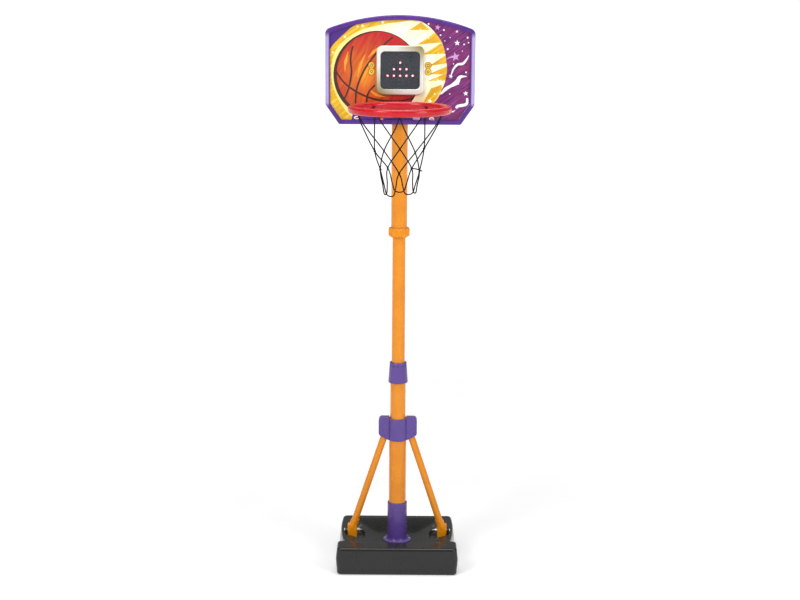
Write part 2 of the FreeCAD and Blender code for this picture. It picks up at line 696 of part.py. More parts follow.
def brace_shoe():
    """Moulded shoe at the brace's foot: a block with a sloping socket and a cross bolt hole."""
    low, top = POCKET_FLOOR, SHOE_TOP
    x0, x1 = SHOE_X - SHOE_WIDTH / 2, SHOE_X + SHOE_WIDTH / 2
    shoe = block(x0, x1, -SHOE_THICK / 2, SHOE_THICK / 2, low, top)
    shoe = rounded_at(shoe, 4, lambda b: b.ZLength > 30)
    collar = brace_rod(BRACE_R + 2.2).common(block(0, BASE_WIDTH, -50, 50, top - 22, top + 14))
    shoe = rounded_at(shoe, 2.5, lambda b: b.ZMin > top - 0.01)
    shoe = shoe.fuse(collar.common(block(0, x1, -50, 50, low, top + 14)))
    socket = brace_rod(BRACE_R + SNUG / 2)
    hole = Part.makeCylinder(
        SHOE_BOLT_R + SCREW_GAP, 200, vec(x0 - 50, 0, low + SHOE_BOLT_HEIGHT), vec(1, 0, 0)
    )
    return shoe.cut(socket).cut(hole)


def shoe_bolts():
    """Bolts through the tank's lugs and the shoes, heads outside."""
    wall_x = POCKET_X + POCKET_WIDTH / 2 + LUG_THICK
    length = wall_x - (SHOE_X - SHOE_WIDTH / 2) + 14
    made = []
    for side in (-1, 1):
        one = screw(SHOE_BOLT_HEAD_R, 3.6, SHOE_BOLT_R, length)
        made.append(placed(one, vec(side * wall_x, 0, POCKET_FLOOR + SHOE_BOLT_HEIGHT), vec(side, 0, 0)))
    return Part.makeCompound(made)


def wing_nuts():
    """Wing nuts on the inner ends of the shoe bolts."""
    hub = turned([
        (SHOE_BOLT_R + SNUG / 2, 0), (7.5, 0), (6, 8), (SHOE_BOLT_R + SNUG / 2, 8),
    ])
    profile = [vec(4, 0, 2), vec(9, 0, 3), vec(17, 0, 12), vec(16, 0, 16), vec(11, 0, 15), vec(4, 0, 7)]
    wing = Part.Face(Part.makePolygon(profile + profile[:1])).extrude(vec(0, 2.4, 0))
    wing.translate(vec(0, -1.2, 0))
    bore = Part.makeCylinder(SHOE_BOLT_R + SNUG / 2, 30, vec(0, 0, -1))
    nut = hub.fuse(wing).fuse(mirrored(wing)).cut(bore)
    nut.rotate(vec(0, 0, 0), vec(0, 0, 1), 25)
    made = []
    for side in (-1, 1):
        spot = vec(side * (SHOE_X - SHOE_WIDTH / 2), 0, POCKET_FLOOR + SHOE_BOLT_HEIGHT)
        made.append(placed(nut.copy(), spot, vec(-side, 0, 0)))
    return Part.makeCompound(made)


# ---------------------------------------------------------------- backboard
def board_face(inset=0.0):
    """Backboard outline in a level plane, about the board's middle."""
    half, high = BOARD_WIDTH / 2, BOARD_HEIGHT / 2
    low = [
        vec(half, high - BOARD_TOP_DROP, 0), vec(half, CHAMFER_Z - high, 0),
        vec(half - CHAMFER_X, -high, 0), vec(CHAMFER_X - half, -high, 0),
        vec(-half, CHAMFER_Z - high, 0), vec(-half, high - BOARD_TOP_DROP, 0),
    ]
    edges = [Part.makeLine(a, b) for a, b in zip(low, low[1:])]
    edges.append(Part.Arc(low[-1], vec(0, high, 0), low[0]).toShape())
    slab = Part.Face(Part.Wire(edges)).extrude(vec(0, 0, 10))
    shoulder = high - BOARD_TOP_DROP
    slab = rounded_at(slab, TOP_CORNER, lambda b: b.ZLength > 9 and abs(b.Center.y - shoulder) < 1)
    slab = rounded_at(slab, LOW_CORNER, lambda b: b.ZLength > 9 and b.YLength < 0.1 and b.Center.y < 0)
    face = next(f for f in slab.Faces if f.BoundBox.ZMax < 0.01)
    return face.makeOffset2D(-inset) if inset else face


def board_slab(inset, front, back):
    return stood_up(board_face(inset), front, back, 0, BOARD_MIDDLE)


def board_ribs():
    """Stiffening ribs behind the plate, clear of the display and the pole mounts."""
    made = []
    back = PLATE_BACK + RIB_DEPTH
    for x in (BOARD_WIDTH * 0.215, BOARD_WIDTH * 0.36):
        made += both_sides(block(x, x + RIB, PLATE_BACK, back, BOARD_BOTTOM, BOARD_TOP))
    for z in (BOARD_MIDDLE - 52, BOARD_MIDDLE + 52):
        made += both_sides(
            block(BOARD_WIDTH * 0.215, BOARD_WIDTH / 2, PLATE_BACK, back, z, z + RIB)
        )
    return made


def rim_bolt_spots():
    return [
        (side * RIM_BOLT_X, RIM_PLATE_MIDDLE + rise)
        for side in (-1, 1) for rise in (-RIM_BOLT_SPREAD / 2, RIM_BOLT_SPREAD / 2)
    ]


def display_screw_spots():
    x, z = BEZEL_WIDTH / 2 - 9, BEZEL_HEIGHT / 2 - 9
    return [(a, BOARD_MIDDLE + b) for a in (-x, x) for b in (-z, z)]


def saddle_screw_spots():
    x = (SADDLE_X + SADDLE_EAR_X) / 2 + 0.5
    return [
        (side * x, low + SADDLE_HEIGHT * share)
        for low in SADDLES for side in (-1, 1) for share in (0.25, 0.75)
    ]


def backboard():
    """Moulded backboard: a raised border around a recessed plate, hollow and ribbed behind."""
    body = board_slab(0, BOARD_FRONT, BOARD_FRONT + BOARD_DEPTH)
    body = rounded_at(body, BORDER_ROUND, lambda b: b.YMax < BOARD_FRONT + 0.01)
    back = BOARD_FRONT + BOARD_DEPTH + 1
    body = body.cut(board_slab(BORDER, BOARD_FRONT - 1, PLATE_FRONT))
    inside = board_slab(PLATE, PLATE_BACK, back)
    hollow_border = board_slab(PLATE + 2.5, BOARD_FRONT + PLATE, PLATE_BACK + 0.5)
    hollow_border = hollow_border.cut(board_slab(BORDER - PLATE, BOARD_FRONT, back))
    body = body.cut(inside).cut(hollow_border)
    room = board_slab(PLATE - 0.2, PLATE_BACK, back)
    for rib in board_ribs():
        body = body.fuse(rib.common(room))
    body = body.cut(
        panel(HOUSING_WIDTH + 2, HOUSING_HEIGHT + 2, 6, BOARD_FRONT, back, 0, BOARD_MIDDLE)
    )
    for x, z in rim_bolt_spots():
        body = body.cut(lying(RIM_BOLT_R + SCREW_GAP, BOARD_FRONT, back, x, z))
    for x, z in display_screw_spots() + saddle_screw_spots():
        body = body.cut(lying(SCREW_R + SCREW_GAP, BOARD_FRONT, back, x, z))
    return body


def graphic_sheet():
    """Printed sheet in the backboard's recess."""
    sheet = board_slab(BORDER + SHEET_GAP, SHEET_FRONT, PLATE_FRONT)
    sheet = sheet.cut(
        panel(HOUSING_WIDTH + 2, HOUSING_HEIGHT + 2, 6, BOARD_FRONT, PLATE_BACK, 0, BOARD_MIDDLE)
    )
    for x, z in rim_bolt_spots():
        sheet = sheet.cut(lying(RIM_BOLT_R + SCREW_GAP, BOARD_FRONT, PLATE_BACK, x, z))
    for x, z in display_screw_spots():
        sheet = sheet.cut(lying(SCREW_R + SCREW_GAP, BOARD_FRONT, PLATE_BACK, x, z))
    return sheet


def saddle(low):
    """Pole mount screwed to the backboard's back, with a half-round seat."""
    high = low + SADDLE_HEIGHT
    gap = RUNNING
    body = block(-SADDLE_X, SADDLE_X, PLATE_BACK, -gap, low, high)
    body = body.fuse(block(-SADDLE_EAR_X, SADDLE_EAR_X, PLATE_BACK, PLATE_BACK + SADDLE_EAR, low, high))
    body = body.cut(upright(UPPER_R + SNUG / 2, low - 1, high + 1))
    for x, z in saddle_screw_spots():
        if low < z < high:
            body = body.cut(lying(SCREW_R + SCREW_GAP, PLATE_FRONT, 0, x, z))
    for x in (-CLAMP_BOLT_X, CLAMP_BOLT_X):
        body = body.cut(lying(CLAMP_BOLT_R + SCREW_GAP, -24, 60, x, (low + high) / 2))
    return body


def clamp(low):
    """Rear half of a pole mount."""
    high = low + SADDLE_HEIGHT
    body = block(-SADDLE_X, SADDLE_X, RUNNING, CLAMP_BACK, low, high)
    body = rounded_at(body, 14, lambda b: b.ZLength > 20 and b.YMin > CLAMP_BACK - 0.01)
    body = body.cut(upright(UPPER_R + SNUG / 2, low - 1, high + 1))
    for x in (-CLAMP_BOLT_X, CLAMP_BOLT_X):
        middle = (low + high) / 2
        body = body.cut(lying(CLAMP_BOLT_R + SCREW_GAP, 0, 60, x, middle))
        body = body.cut(lying(CLAMP_BOLT_R + 2.9, CLAMP_SEAT, 60, x, middle))
    return body


def clamp_screws():
    made = []
    for low in SADDLES:
        for x in (-CLAMP_BOLT_X, CLAMP_BOLT_X):
            one = screw(4.8, 3.2, CLAMP_BOLT_R, CLAMP_SEAT + 22)
            made.append(placed(one, vec(x, CLAMP_SEAT, low + SADDLE_HEIGHT / 2), vec(0, 1, 0)))
    return Part.makeCompound(made)


def saddle_screws():
    seat = PLATE_BACK + SADDLE_EAR
    made = [
        placed(screw(SCREW_HEAD_R, SCREW_HEAD, SCREW_R, SADDLE_EAR + PLATE - 0.5), vec(x, seat, z), vec(0, 1, 0))
        for x, z in saddle_screw_spots()
    ]
    return Part.makeCompound(made)


# ---------------------------------------------------------------- display
def display_bezel():
    """Raised frame around the display's window, with four screw bosses inside."""
    middle = BOARD_MIDDLE
    body = panel(BEZEL_WIDTH, BEZEL_HEIGHT, BEZEL_CORNER, BEZEL_FRONT, SHEET_FRONT, 0, middle)
    body = rounded_at(body, 5, lambda b: b.YMax < BEZEL_FRONT + 0.01)
    window = panel(
        WINDOW_WIDTH, WINDOW_HEIGHT, WINDOW_CORNER, BEZEL_FRONT - 1, LENS_FRONT, 0, middle
    )
    body = body.cut(window)
    body = rounded_at(
        body, 2.5,
        lambda b: b.YMax < BEZEL_FRONT + 0.01 and max(abs(b.XMin), abs(b.XMax)) < WINDOW_WIDTH / 2 + 1,
    )
    hollow = panel(
        BEZEL_WIDTH - 8, BEZEL_HEIGHT - 8, BEZEL_CORNER - 4, LENS_FRONT, SHEET_FRONT + 1, 0, middle
    )
    for x, z in display_screw_spots():
        hollow = hollow.cut(lying(SCREW_R + 2.6, LENS_FRONT - 1, SHEET_FRONT + 2, x, z))
    body = body.cut(hollow)
    for x, z in display_screw_spots():
        body = body.cut(lying(SCREW_R + SCREW_GAP, LENS_FRONT, SHEET_FRONT + 1, x, z))
    return body


def display_lens():
    """Smoked window behind the bezel."""
    return panel(
        WINDOW_WIDTH + 6, WINDOW_HEIGHT + 6, WINDOW_CORNER, LENS_FRONT, LENS_FRONT + LENS, 0, BOARD_MIDDLE
    )


def led_spots():
    """Centres of the lit lamps: a triangle of rows under one lamp."""
    spots = []
    for row, count in enumerate(LED_ROWS):
        z = BOARD_MIDDLE + LED_RISE - row * LED_PITCH_Z
        spots += [((i - (count - 1) / 2) * LED_PITCH_X, z) for i in range(count)]
    return spots


def circuit_board():
    return panel(PCB_WIDTH, PCB_HEIGHT, 3, PCB_FRONT, PCB_BACK, 0, BOARD_MIDDLE)


def leds():
    """Domed lamps standing on the circuit board."""
    made = []
    height = PCB_FRONT - LENS_FRONT - LENS - 0.2
    for x, z in led_spots():
        flange = Part.makeCylinder(LED_R + 0.4, 0.8)
        stem = rounded_at(Part.makeCylinder(LED_R, height), LED_R * 0.9, lambda b: b.ZMin > height - 0.01)
        made.append(placed(flange.fuse(stem), vec(x, PCB_FRONT, z), vec(0, -1, 0)))
    return Part.makeCompound(made)


def battery_room(grow, front, back):
    return panel(
        BATTERY_WIDTH - 2 * grow, BATTERY_HEIGHT - 2 * grow, 2, front, back, BATTERY_X, BOARD_MIDDLE
    )


def display_housing():
    """Rear shell of the display, with the battery box, the speaker's grille and the switch's slot."""
    middle = BOARD_MIDDLE
    body = panel(HOUSING_WIDTH, HOUSING_HEIGHT, 5, PCB_BACK, HOUSING_BACK, 0, middle)
    body = body.fuse(
        panel(BEZEL_WIDTH - 2, BEZEL_HEIGHT - 2, BEZEL_CORNER - 1, PLATE_BACK, PLATE_BACK + 2, 0, middle)
    )
    body = body.fuse(battery_room(0, PLATE_BACK, BATTERY_BACK))
    wall = HOUSING_WALL
    body = body.cut(
        panel(
            HOUSING_WIDTH - 2 * wall, HOUSING_HEIGHT - 2 * wall, 3,
            PCB_BACK - 1, HOUSING_BACK - wall, 0, middle,
        )
    )
    body = body.cut(battery_room(wall, HOUSING_BACK, BATTERY_BACK + 1))
    body = body.cut(door_screw_hole())
    for row in range(-3, 4):
        half = sqrt(max(SPEAKER_R ** 2 - (row * 4.4) ** 2, 0)) - 3
        z = middle + SPEAKER_RISE + row * 4.4
        body = body.cut(block(
            SWITCH_X - half, SWITCH_X + half, HOUSING_BACK - wall - 1, HOUSING_BACK + 1, z - 1, z + 1
        ))
    z = middle - SWITCH_DROP
    body = body.cut(block(
        SWITCH_X - 4, SWITCH_X + 4, HOUSING_BACK - wall - 1, HOUSING_BACK + 1,
        z - 4 - RUNNING, z + SWITCH_TRAVEL + 4 + RUNNING,
    ))
    for x, z in display_screw_spots():
        body = body.cut(lying(SCREW_R + SCREW_GAP, PLATE_FRONT, HOUSING_BACK, x, z))
    return body


def door_screw_spot():
    return BATTERY_X, BOARD_MIDDLE - BATTERY_HEIGHT / 2 + 4.5


def door_screw_hole():
    x, z = door_screw_spot()
    return lying(DOOR_SCREW_R + RUNNING, BATTERY_BACK - 9, BATTERY_BACK + 20, x, z)


def battery_door():
    """Cover of the battery box, with thumb ridges."""
    front = BATTERY_BACK + RUNNING
    back = front + DOOR
    door = panel(BATTERY_WIDTH, BATTERY_HEIGHT, 2, front, back, BATTERY_X, BOARD_MIDDLE)
    for row in range(3):
        z = BOARD_MIDDLE + 20 + 4 * row
        door = door.fuse(block(BATTERY_X - 9, BATTERY_X + 9, back - 0.5, back + 0.8, z - 0.8, z + 0.8))
    x, z = door_screw_spot()
    return door.cut(lying(DOOR_SCREW_R + SNUG / 2, front - 1, back + 1, x, z))


def battery_door_screw():
    x, z = door_screw_spot()
    back = BATTERY_BACK + RUNNING + DOOR
    return placed(screw(2.8, 1.8, DOOR_SCREW_R, 8), vec(x, back, z), vec(0, 1, 0))


def battery_cells():
    """Two round cells standing side by side."""
    made = []
    y = HOUSING_BACK + CELL_R + 0.3
    low = BOARD_MIDDLE - CELL_LENGTH / 2 + 2.5
    for side in (-1, 1):
        x = BATTERY_X + side * (CELL_R + 0.15)
        can = upright(CELL_R, low, low + CELL_LENGTH - 1.5, x, y)
        cap = upright(2.7, low + CELL_LENGTH - 1.5, low + CELL_LENGTH, x, y)
        made.append(can.fuse(cap))
    return Part.makeCompound(made)


def battery_contacts():
    """Sprung contact plates at the two ends of the battery box."""
    inner = BATTERY_HEIGHT / 2 - HOUSING_WALL
    y = HOUSING_BACK + CELL_R + 0.3
    x0, x1 = BATTERY_X - 13, BATTERY_X + 13
    top = block(x0, x1, y - 5, y + 5, BOARD_MIDDLE + inner - 0.5, BOARD_MIDDLE + inner)
    low_z = BOARD_MIDDLE - inner
    bottom = block(x0, x1, y - 5, y + 5, low_z + 6.0, low_z + 6.5)
    return Part.makeCompound([top, bottom])


def speaker():
    """Small loudspeaker behind the grille."""
    back = HOUSING_BACK - HOUSING_WALL
    cone = turned([
        (0, 0), (SPEAKER_R, 0), (SPEAKER_R, 1.5), (SPEAKER_R * 0.55, 4.5), (SPEAKER_R * 0.55, 7), (0, 7),
    ])
    return placed(cone, vec(SWITCH_X + 3, back, BOARD_MIDDLE + SPEAKER_RISE), vec(0, -1, 0))


def vibration_sensor():
    """Can on the circuit board that feels the ball strike the backboard."""
    return lying(3.2, PCB_BACK, PCB_BACK + 9, 6, BOARD_MIDDLE - 35)


def power_switch():
    """Slide switch's thumb piece."""
    z = BOARD_MIDDLE - SWITCH_DROP
    back, wall = HOUSING_BACK, HOUSING_WALL
    foot = block(SWITCH_X - 6, SWITCH_X + 6, back - wall - 3, back - wall - RUNNING, z - 6, z + 6)
    knob = block(
        SWITCH_X - 4 + RUNNING, SWITCH_X + 4 - RUNNING, back - wall - 1, back + 2.5, z - 4, z + 4
    )
    return foot.fuse(knob)


def switch_body():
    """Fixed body of the slide switch."""
    z = BOARD_MIDDLE - SWITCH_DROP + SWITCH_TRAVEL / 2
    front = HOUSING_BACK - HOUSING_WALL - 3 - RUNNING
    return block(SWITCH_X - 7, SWITCH_X + 7, PCB_BACK, front, z - 9, z + 9)


def display_screws():
    seat = PLATE_BACK + 2
    made = [
        placed(screw(SCREW_HEAD_R, SCREW_HEAD, SCREW_R, seat - LENS_FRONT - 1), vec(x, seat, z), vec(0, 1, 0))
        for x, z in display_screw_spots()
    ]
    return Part.makeCompound(made)


# ---------------------------------------------------------------- hoop and net
def hook_angles():
    """Directions of the net's hooks seen from above, the first at the very front."""
    return [-90 + 360 / HOOKS * i for i in range(HOOKS)]


def at_angle(radius, angle, z):
    return vec(radius * cos(radians(angle)), RIM_Y + radius * sin(radians(angle)), z)


def rim_ring():
    """Ring with a rounded upright section."""
    wire = rounded_rectangle(
        RIM_R - RIM_SECTION_WIDTH / 2, RIM_OUTER_R, RIM_LOW, RIM_HIGH, RIM_ROUND, 0
    )
    face = Part.Face(wire)
    face.rotate(vec(0, 0, 0), vec(1, 0, 0), 90)
    ring = face.revolve(vec(0, 0, 0), vec(0, 0, 1), 360)
    ring.translate(vec(0, RIM_Y, 0))
    return ring


def hook(angle):
    """Radial peg on the ring's inner side, with a stop disc at its end, that a loop of cord hangs on."""
    tip = vec(HOOK_TIP_R, 0, HOOK_LEVEL)
    peg = Part.makeCylinder(HOOK_R, RIM_R - HOOK_TIP_R, tip, vec(1, 0, 0))
    whole = peg.fuse(Part.makeCylinder(HOOK_R + 1.2, HOOK_STOP, tip, vec(1, 0, 0)))
    whole.rotate(vec(0, 0, 0), vec(0, 0, 1), angle)
    whole.translate(vec(0, RIM_Y, 0))
    return whole


def rim():
    """Ring and the net's hooks, in one moulding."""
    body = rim_ring()
    for angle in hook_angles():
        body = body.fuse(hook(angle))
    return body.removeSplitter()


def rim_bracket():
    """Mounting plate, two arms and a level web that carry the ring."""
    middle = (RIM_LOW + RIM_HIGH) / 2
    back = RIM_PLATE_FRONT + 1
    body = panel(
        RIM_PLATE_WIDTH, RIM_PLATE_HEIGHT, 6, RIM_PLATE_FRONT, SHEET_FRONT, 0, RIM_PLATE_MIDDLE
    )
    arm = block(
        RIM_ARM_X - RIM_ARM_WIDTH / 2, RIM_ARM_X + RIM_ARM_WIDTH / 2, RIM_Y, back,
        RIM_LOW + 2, RIM_PLATE_MIDDLE + RIM_PLATE_HEIGHT / 2,
    )
    web = block(-RIM_ARM_X, RIM_ARM_X, RIM_Y, back, middle - 2, middle + 2)
    for piece in both_sides(arm) + [web]:
        body = body.fuse(piece)
    body = body.cut(upright(RIM_R, RIM_LOW - 50, RIM_HIGH + 50, 0, RIM_Y)).cut(rim_ring())
    for x, z in rim_bolt_spots():
        body = body.cut(lying(RIM_BOLT_R + SCREW_GAP, RIM_PLATE_FRONT - 1, 0, x, z))
    return max(body.Solids, key=lambda piece: piece.Volume)


def rim_bolts():
    """Screws that hold the hoop's plate, with their heads in front of it."""
    length = RIM_PLATE + SHEET + PLATE + 6
    made = [
        placed(screw(4.6, 3.0, RIM_BOLT_R, length), vec(x, RIM_PLATE_FRONT, z), vec(0, -1, 0))
        for x, z in rim_bolt_spots()
    ]
    return Part.makeCompound(made)


def rim_nuts():
    made = [
        placed(hex_nut(8.0, RIM_BOLT_R + SNUG / 2, 4.0), vec(x, PLATE_BACK, z), vec(0, 1, 0))
        for x, z in rim_bolt_spots()
    ]
    return Part.makeCompound(made)


def cord_run(start, end):
    along = end.sub(start)
    return Part.makeCylinder(CORD_R, along.Length, start, along)


def bent_cord(points):
    """Tube along straight runs joined by tangent arcs, each as large as its two runs allow."""
    edges, start = [], points[0]
    for a, b, c in zip(points, points[1:], points[2:]):
        back, on = a - b, c - b
        half = back.getAngle(on) / 2
        reach = 0.45 * min(back.Length, on.Length)
        entry = b + back * (reach / back.Length)
        leave = b + on * (reach / on.Length)
        inward = (entry + leave) * 0.5 - b
        pull = reach * (1 - sin(half)) / cos(half)
        edges.append(Part.makeLine(start, entry))
        edges.append(Part.Arc(entry, b + inward * (pull / inward.Length), leave).toShape())
        start = leave
    edges.append(Part.makeLine(start, points[-1]))
    ring = Part.Wire([Part.makeCircle(CORD_R, points[0], points[1] - points[0])])
    return Part.Wire(edges).makePipeShell([ring], True, True)


def net_knots():
    """Rows of net points, from the hooks down to the bottom of the loops."""
    half = 180 / HOOKS
    hooks = [at_angle(NET_R, a, NET_TOP) for a in hook_angles()]
    upper = [at_angle(UPPER_KNOTS_R, a + half, NET_TOP - UPPER_KNOTS_DROP) for a in hook_angles()]
    lower = [at_angle(LOWER_KNOTS_R, a, NET_TOP - LOWER_KNOTS_DROP) for a in hook_angles()]
    loops = [at_angle(LOOPS_R, a + half, NET_TOP - LOOPS_DROP) for a in hook_angles()]
    return hooks, upper, lower, loops


def net_loop(left, right, bottom):
    """One hanging loop of cord between two neighbouring knots."""
    side = (right - left) * 0.22
    return bent_cord([left, bottom - side, bottom + side, right])


def knot(centre, radius):
    """Ball of knotted cord, with its poles away from the cords that meet in it."""
    return Part.makeSphere(radius, centre, vec(centre.x, centre.y - RIM_Y, 0))


def cord_eye(angle):
    """Small ring of cord round one hook, with the knot under it."""
    centre = at_angle(NET_R, angle, HOOK_LEVEL)
    along = vec(cos(radians(angle)), sin(radians(angle)), 0)
    ring = Part.makeTorus(CORD_EYE_R, CORD_R, centre, along)
    return [ring, knot(at_angle(NET_R, angle, NET_TOP), EYE_KNOT_R)]


def net():
    """Knotted net: cords from each hook to two knots, down to the next row, then five loops."""
    hooks, upper, lower, loops = net_knots()
    pieces = []
    for i, angle in enumerate(hook_angles()):
        following = (i + 1) % HOOKS
        pieces += cord_eye(angle)
        pieces += [cord_run(hooks[i], upper[i]), cord_run(hooks[following], upper[i])]
        pieces += [cord_run(upper[i], lower[i]), cord_run(upper[i], lower[following])]
        pieces += [knot(upper[i], KNOT_R), knot(lower[i], KNOT_R)]
        pieces.append(net_loop(lower[i], lower[following], loops[i]))
    return pieces[0].multiFuse(pieces[1:])


def net_tail():
    """Free end of the cord, standing out of one lower knot."""
    _, _, lower, _ = net_knots()
    away = vec(*TAIL_POINTS[1])
    start = lower[2] + away * ((KNOT_R + RUNNING) / away.Length)
    return bent_cord([start + vec(*p) for p in TAIL_POINTS])


# ---------------------------------------------------------------- export
def build():
    collar_front, collar_rear = brace_collar()
    return {
        "base_tank": base_tank(),
        "filler_plug": filler_plug(),
        "pole_sleeve": pole_sleeve(),
        "sleeve_screws": sleeve_screws(),
        "pole_lower": pole_lower(),
        "pole_second": pole_second(),
        "brace_collar_front": collar_front,
        "brace_collar_rear": collar_rear,
        "collar_screws": collar_screws(),
        "brace_right": brace(),
        "brace_left": mirrored(brace()),
        "brace_shoe_right": brace_shoe(),
        "brace_shoe_left": mirrored(brace_shoe()),
        "shoe_bolts": shoe_bolts(),
        "shoe_wing_nuts": wing_nuts(),
        "lower_collet": lower_collet(),
        "lock_collar": lock_collar(),
        "pole_middle": pole_middle(),
        "middle_foot_guide": middle_foot_guide(),
        "middle_head_guide": middle_head_guide(),
        "pole_upper": pole_upper(),
        "upper_bush": upper_bush(),
        "lock_ring": lock_ring(),
        "pole_cap": pole_cap(),
        "backboard": backboard(),
        "graphic_sheet": graphic_sheet(),
        "saddle_lower": saddle(SADDLES[0]),
        "saddle_upper": saddle(SADDLES[1]),
        "clamp_lower": clamp(SADDLES[0]),
        "clamp_upper": clamp(SADDLES[1]),
        "clamp_screws": clamp_screws(),
        "saddle_screws": saddle_screws(),
        "display_bezel": display_bezel(),
        "display_lens": display_lens(),
        "circuit_board": circuit_board(),
        "leds": leds(),
        "display_housing": display_housing(),
        "display_screws": display_screws(),
        "battery_door": battery_door(),
        "battery_door_screw": battery_door_screw(),
        "battery_cells": battery_cells(),
        "battery_contacts": battery_contacts(),
        "speaker": speaker(),
        "vibration_sensor": vibration_sensor(),
        "power_switch": power_switch(),
        "switch_body": switch_body(),
        "rim": rim(),
        "rim_bracket": rim_bracket(),
        "rim_bolts": rim_bolts(),
        "rim_nuts": rim_nuts(),
        "net": net(),
        "net_tail": net_tail(),
    }


os.makedirs("parts", exist_ok=True)
for name, shape in build().items():
    shape.exportStep(f"parts/{name}.step")
    print(name, len(shape.Solids), round(shape.Volume, 1), shape.isValid())
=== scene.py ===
from math import atan2, cos, pi, radians, sin, tan

import bpy
import numpy as np
from mathutils import Euler, Matrix, Vector
from mathutils.geometry import delaunay_2d_cdt


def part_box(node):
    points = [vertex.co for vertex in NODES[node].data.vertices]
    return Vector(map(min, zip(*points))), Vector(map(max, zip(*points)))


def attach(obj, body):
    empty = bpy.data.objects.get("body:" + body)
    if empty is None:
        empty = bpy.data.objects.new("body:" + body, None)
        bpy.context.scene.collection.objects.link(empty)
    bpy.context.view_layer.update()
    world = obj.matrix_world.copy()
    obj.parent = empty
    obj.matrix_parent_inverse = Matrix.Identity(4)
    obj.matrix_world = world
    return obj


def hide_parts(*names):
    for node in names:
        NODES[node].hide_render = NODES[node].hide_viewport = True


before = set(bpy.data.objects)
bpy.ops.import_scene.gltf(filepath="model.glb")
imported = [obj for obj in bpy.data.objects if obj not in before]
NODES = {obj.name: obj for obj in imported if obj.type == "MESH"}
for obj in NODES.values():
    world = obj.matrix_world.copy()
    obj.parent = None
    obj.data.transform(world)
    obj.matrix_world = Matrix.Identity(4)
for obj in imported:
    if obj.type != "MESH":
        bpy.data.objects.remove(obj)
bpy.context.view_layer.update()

# Child's basketball hoop with a scoring display: finishes, printed film, moulded base and knotted net
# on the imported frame. Metres. The player stands at -Y.

MM = 0.001
rng = np.random.default_rng(7)


# ---------------------------------------------------------------- sizes read from the frame
def corners(node):
    return (np.array(corner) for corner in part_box(node))


BOARD_LOW, BOARD_HIGH = corners("backboard")
BOARD_MIDDLE = (BOARD_LOW + BOARD_HIGH) / 2
FILM_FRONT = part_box("graphic_sheet")[0][1]
TANK_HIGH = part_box("base_tank")[1]
TANK_TOP = 0.0875
POLE_R = 0.0271
POCKET_HALF = (0.028, 0.042)
POCKET_CORNER = 0.026
SHOE_GAP = 0.002
SHOE_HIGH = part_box("brace_shoe_right")[1]
POCKET_X = SHOE_HIGH[0] + SHOE_GAP - POCKET_HALF[0]
RING_LOW, RING_HIGH = corners("rim")
RING_SECTION = 0.022
RING_Y = RING_LOW[1] + (RING_HIGH[0] - RING_LOW[0]) / 2
RING_BOTTOM = RING_HIGH[2] - RING_SECTION
NET_LOW, NET_HIGH = corners("net")


# ---------------------------------------------------------------- meshes
def grid_faces(rows, columns, close_rows, close_columns):
    """Quads between neighbouring points of a rows by columns grid, wrapping where it closes."""
    down = np.arange(rows if close_rows else rows - 1)
    along = np.arange(columns if close_columns else columns - 1)
    i, j = np.meshgrid(down, along, indexing="ij")
    ni, nj = (i + 1) % rows, (j + 1) % columns
    quads = [i * columns + j, i * columns + nj, ni * columns + nj, ni * columns + j]
    return np.stack(quads, axis=-1).reshape(-1, 4)


def put_mesh(name, points, faces, body, material, smooth=True):
    """Mesh object from an array of points and a list of faces."""
    mesh = bpy.data.meshes.new(name)
    mesh.from_pydata(np.asarray(points).reshape(-1, 3).tolist(), [], faces)
    mesh.polygons.foreach_set("use_smooth", [smooth] * len(mesh.polygons))
    mesh.materials.append(material)
    obj = bpy.data.objects.new(name, mesh)
    bpy.context.scene.collection.objects.link(obj)
    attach(obj, body)
    return obj


def outward(points, faces):
    """Faces of a closed part, all turned round if its signed volume, summed over them, is negative."""
    a, b, c, d = (points[faces[:, k]] for k in range(4))
    volume = np.sum(a * (np.cross(b, c) + np.cross(c, d)))
    return faces if volume > 0 else faces[:, [1, 0, 3, 2]]


def join_parts(parts):
    """One point array and one quad array from several closed (points, quads) pairs."""
    points, faces, start = [], [], 0
    for part_points, part_faces in parts:
        flat = part_points.reshape(-1, 3)
        points.append(flat)
        faces.append(outward(flat, part_faces) + start)
        start += len(flat)
    return np.concatenate(points), np.concatenate(faces)


def unit(vectors):
    return vectors / np.linalg.norm(vectors, axis=-1, keepdims=True)


def smooth_path(knots, spacing, closed=False):
    """Centripetal Catmull-Rom curve through the knots, resampled at an even spacing."""
    knots = np.asarray(knots, dtype=float)
    if closed:
        knots = np.concatenate([knots[-1:], knots, knots[:2]])
    else:
        first, last = 2 * knots[0] - knots[1], 2 * knots[-1] - knots[-2]
        knots = np.concatenate([[first], knots, [last]])
    a, b, c, d = (knots[i:len(knots) - 3 + i, None] for i in range(4))
    t = np.linspace(0, 1, 24, endpoint=False)[None, :, None]
    curve = 0.5 * (
        2 * b + (c - a) * t + (2 * a - 5 * b + 4 * c - d) * t ** 2 + (3 * b - a - 3 * c + d) * t ** 3
    )
    line = np.concatenate([curve.reshape(-1, knots.shape[1]), knots[-2:-1]])
    steps = np.concatenate([[0], np.cumsum(np.linalg.norm(np.diff(line, axis=0), axis=1))])
    count = max(int(steps[-1] / spacing), 8)
    at = np.linspace(0, steps[-1], count, endpoint=not closed)
    return np.stack([np.interp(at, steps, line[:, k]) for k in range(line.shape[1])], axis=1)


